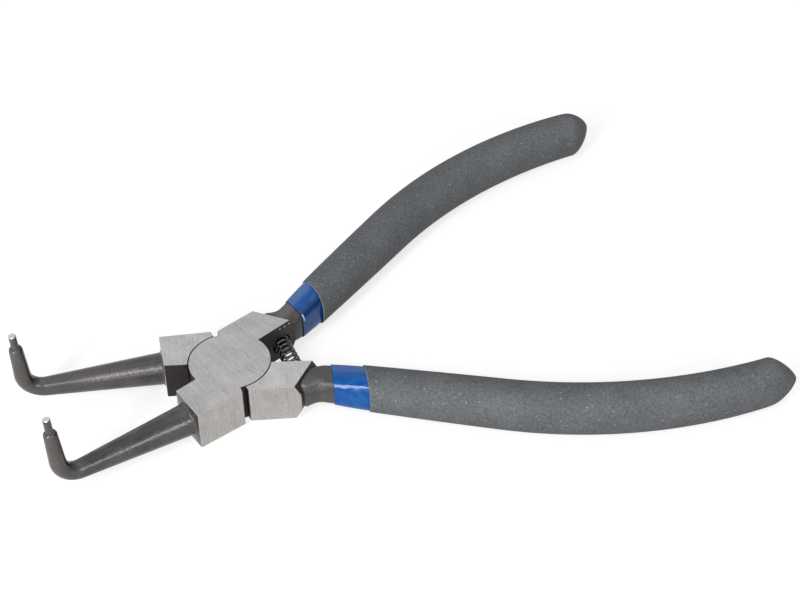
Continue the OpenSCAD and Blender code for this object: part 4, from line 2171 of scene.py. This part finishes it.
class CoilTree(GeometryTree):
    """Winds a compression spring with a closed turn at each end."""

    def __init__(self) -> None:
        """Writes the winding."""
        super().__init__("coil_winding", [
            ("Geometry", "NodeSocketGeometry"),
            ("Turns", "NodeSocketFloat"),
            ("Start", "NodeSocketFloat"),
            ("Steps", "NodeSocketInt"),
            ("Coil Radius", "NodeSocketFloat"),
            ("Wire Radius", "NodeSocketFloat"),
            ("Wire Sides", "NodeSocketInt"),
            ("Length", "NodeSocketFloat"),
            ("Middle", "NodeSocketVector"),
            ("Material", "NodeSocketMaterial"),
        ])
        turns, steps = self.read("Turns"), self.read("Steps")
        wire = self.read("Wire Radius") * 2
        free = self.read("Length") - wire
        pitch = (free - 2 * wire) / (turns - 2)
        line = self.add("GeometryNodeMeshLine", None, {"Count": steps})
        turn = self.add("GeometryNodeInputIndex") / (steps - 1) * turns
        inside = (turn - 1).math("MAXIMUM", 0.0).math("MINIMUM", turns - 2)
        reach = wire * (turn - inside) + pitch * inside
        angle = self.read("Start") - turn * (2 * math.pi)
        radius = self.read("Coil Radius")
        out, up = radius * angle.math("COSINE"), radius * angle.math("SINE")
        wound = self.combine(out, reach - free / 2, up)
        place = self.vector("ADD", wound, self.read("Middle"))
        moved = self.add("GeometryNodeSetPosition", None, {"Geometry": line, "Position": place})
        rail = self.add("GeometryNodeMeshToCurve", None, {"Mesh": moved})
        sockets = {"Resolution": self.read("Wire Sides"), "Radius": self.read("Wire Radius")}
        section = self.add("GeometryNodeCurvePrimitiveCircle", None, sockets)
        sockets = {"Curve": rail, "Profile Curve": section, "Fill Caps": True}
        self.close(self.add("GeometryNodeCurveToMesh", None, sockets))


@dataclass(frozen=True)
class ReturnSpring:
    """Coil spring between the handle blocks."""

    x: float = SPRING_X
    z: float = SPRING_Z
    outer_r: float = 2.15
    wire_r: float = 0.30
    turns: int = 14
    start_angle: float = 85.0
    length: float = 20.1
    turn_steps: int = 40
    wire_sides: int = 12

    def dress(self, finish: bpy.types.Material) -> bpy.types.Object:
        """Winds the spring's piece and lets it give between the halves.

        Args:
            finish: The wire's material.

        Returns:
            The finished piece.
        """
        made = new_object("coil_spring", bpy.data.meshes.new("coil_spring"))
        mesh = CoilTree().shape(made, {
            "Turns": float(self.turns),
            "Start": math.radians(self.start_angle),
            "Steps": self.turns * self.turn_steps + 1,
            "Coil Radius": (self.outer_r - self.wire_r) * MM,
            "Wire Radius": self.wire_r * MM,
            "Wire Sides": self.wire_sides,
            "Length": self.length * MM,
            "Middle": (self.x * MM, 0.0, self.z * MM),
            "Material": finish,
        })
        turn_outward(mesh)
        half = self.length / 2 * MM
        start, end = (self.x * MM, -half, self.z * MM), (self.x * MM, half, self.z * MM)
        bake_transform(made, Side.LOWER.body, Side.UPPER.body, start=start, end=end)
        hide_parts("return_spring")
        return made


@dataclass(frozen=True)
class SoftBox:
    """A lamp that faces the object.

    Attributes:
        name: Name of the lamp.
        where: Azimuth and elevation from the object, in degrees.
        away: Distance from the object, in metres.
        size: Width and height of the box, in metres.
        power: Its power, in watts.
    """

    name: str
    where: Flat
    away: float
    size: Flat
    power: float


@dataclass(frozen=True)
class Studio:
    """Pale floor, soft light and the camera.

    Attributes:
        target: Point that the camera and the lamps face.
        distance: Distance of the camera from it.
        azimuth: The camera's angle round the object, in degrees.
        elevation: The camera's angle above the floor, in degrees.
        roll: Turn of the picture, in degrees.
        lens: Focal length of the camera.
        sensor: Width of its sensor.
        near: Distance from which the camera sees, in metres.
        floor_size: Width of the floor, in metres.
        level: Light from all round.
        fall: How much of it is lost towards +X.
        side_band: X of a direction between which reflections of the surroundings darken.
        side_dim: How much they darken there.
        top_band: Z of a direction between which reflections of the surroundings darken.
        top_dim: How much they darken there.
        lamps: The soft boxes.
    """

    target: Spot = (48.992, 15.736, 0.0)
    distance: float = 505.54
    azimuth: float = -21.134
    elevation: float = 40.591
    roll: float = -2.037
    lens: float = 92.19
    sensor: float = 36.0
    near: float = 0.01
    floor_size: float = 6.0
    level: float = 0.25
    fall: float = 0.17
    side_band: Flat = (0.40, 0.85)
    side_dim: float = 0.7
    top_band: Flat = (0.72, 0.95)
    top_dim: float = 0.5
    lamps: tuple[SoftBox, ...] = (
        SoftBox("key", (-54.0, 25.0), 0.9, (0.12, 0.84), 6.7),
        SoftBox("front", (-22.0, 44.0), 0.9, (0.10, 0.20), 1.1),
        SoftBox("fill", (21.0, 26.0), 0.9, (0.09, 0.22), 1.8),
        SoftBox("top", (120.0, 72.0), 1.0, (0.8, 0.8), 1.8),
    )

    @staticmethod
    def direct_rays(tree: Tree) -> tuple[Val, Val]:
        """Two values: 1 for rays from the camera, and 1 for rays from gloss or through glass.

        Args:
            tree: The tree of a material or the world.

        Returns:
            Both values.
        """
        camera = tree.add("ShaderNodeLightPath", out="Is Camera Ray")
        through = camera.also("Is Transmission Ray")
        return camera, camera.also("Is Glossy Ray").math("MAXIMUM", through)

    @staticmethod
    def direction(azimuth: float, elevation: float) -> Vector:
        """Direction from the object, by azimuth from -Y towards +X and elevation, in degrees."""
        a, e = math.radians(azimuth), math.radians(elevation)
        return Vector((math.sin(a) * math.cos(e), -math.cos(a) * math.cos(e), math.sin(e)))

    def lay_floor(self, height: float) -> None:
        """Lays the floor at a height, in metres.

        Args:
            height: Height of the floor.
        """
        half = self.floor_size / 2
        mesh = bpy.data.meshes.new("floor")
        square = ((-half, -half), (half, -half), (half, half), (-half, half))
        mesh.from_pydata([(x, y, height) for x, y in square], [], [(0, 1, 2, 3)])
        mesh.materials.append(PaleFloor("pale_floor").material())
        floor = new_object("floor", mesh)

    def hang_lamp(self, box: SoftBox) -> None:
        """Hangs a soft box where it faces the object.

        Args:
            box: The soft box.
        """
        lamp = bpy.data.lights.new(box.name, "AREA")
        lamp.shape = "RECTANGLE"
        lamp.size, lamp.size_y = box.size
        lamp.energy = box.power
        stand = bpy.data.objects.new(box.name, lamp)
        bpy.context.scene.collection.objects.link(stand)
        back = self.direction(*box.where)
        stand.location = Vector(self.target) * MM + back * box.away
        stand.rotation_mode = "QUATERNION"
        stand.rotation_quaternion = (-back).to_track_quat("-Z", "Y")

    def set_world(self) -> None:
        """Surrounds the object with white that lights it at a plain level."""
        world = bpy.data.worlds.new("studio")
        world.use_nodes = True
        bpy.context.scene.world = world
        tree = Tree(world.node_tree)
        way = tree.add("ShaderNodeTexCoord", out="Generated")
        across = tree.add("ShaderNodeSeparateXYZ", None, {"Vector": way}, out="X")
        above = across.also("Z")
        camera, shiny = self.direct_rays(tree)
        soft = self.level - across * self.fall
        beside = 1 - across.rise(*self.side_band) * self.side_dim
        shown = beside * (1 - above.rise(*self.top_band) * self.top_dim)
        strength = camera.math("MAXIMUM", shiny * shown + (1 - shiny) * soft)
        sky = tree.add("ShaderNodeBackground", None, {"Color": WHITE, "Strength": strength})
        tree.add("ShaderNodeOutputWorld", None, {"Surface": sky})

    def set_camera(self) -> None:
        """Puts the camera where the photograph was taken from."""
        data = bpy.data.cameras.new("camera")
        data.sensor_width = self.sensor
        data.lens = self.lens
        data.clip_start = self.near
        camera = bpy.data.objects.new("camera", data)
        bpy.context.scene.collection.objects.link(camera)
        back = self.direction(self.azimuth, self.elevation)
        side = math.radians(self.azimuth)
        right = Vector((math.cos(side), math.sin(side), 0.0))
        up = back.cross(right)
        turn = math.radians(self.roll)
        across = math.cos(turn) * right + math.sin(turn) * up
        above = math.cos(turn) * up - math.sin(turn) * right
        place = (Vector(self.target) + back * self.distance) * MM
        rows = [(*(axis[i] for axis in (across, above, back)), place[i]) for i in range(3)]
        camera.matrix_world = Matrix((*rows, (0.0, 0.0, 0.0, 1.0)))
        bpy.context.scene.camera = camera

    def build(self, floor_z: float) -> None:
        """Sets up floor, lamps, surroundings and camera.

        Args:
            floor_z: Height of the floor, in metres.
        """
        self.lay_floor(floor_z)
        for box in self.lamps:
            self.hang_lamp(box)
        self.set_world()
        self.set_camera()
        bpy.context.scene.view_settings.view_transform = "Standard"


def main() -> None:
    """Builds every piece in order and reports it."""
    logging.basicConfig(level=logging.INFO, format="%(name)s: %(message)s")
    # The lower half's steel is painted paler than the upper's: painted light on the same ground steel
    pale = (0.715, 0.694, 0.711)
    ground = {
        Side.LOWER: GroundSteel("ground_steel_lower_painted_paler", HALF_OPEN, light=pale).material(),
        Side.UPPER: GroundSteel("ground_steel_upper", -HALF_OPEN).material(),
    }
    oxide = BlackOxide("black_oxide").material()
    blacked = BlackedFace("blacked_face").material()
    bare = BareSteel("bare_pin_end").material()
    # The milled sides keep their own grain; their colours are painted darker and warmer than the tops as
    # painted light and shade
    warm = {"dark": (0.195, 0.186, 0.179), "light": (0.58, 0.556, 0.539)}
    milled = GroundSteel("milled_side", 0.0, **warm).material()
    vinyl = BlueVinyl("blue_vinyl").material()
    soft = SpeckledGrip("speckled_grip").material()
    sweep = CoatTree()
    pieces: list[bpy.types.Object] = []
    for side in Side:
        pieces.append(ForgedHalf(side).dress([ground[side], oxide, bare, blacked, milled]))
        handle = Handle(side)
        pieces.append(handle.sleeve().dress(sweep, vinyl))
        pieces.append(handle.grip().dress(sweep, soft))
    pieces.append(FlushRivet().dress(ground[Side.UPPER]))
    pieces.append(ReturnSpring().dress(SpringWire("spring_wire").material()))
    for piece in pieces:
        LOG.info("%s: %d faces on %s", piece.name, len(piece.data.polygons), body_of(piece))
    Studio().build(CAD_BOX[0].z)


if __name__ == "__main__":
    main()
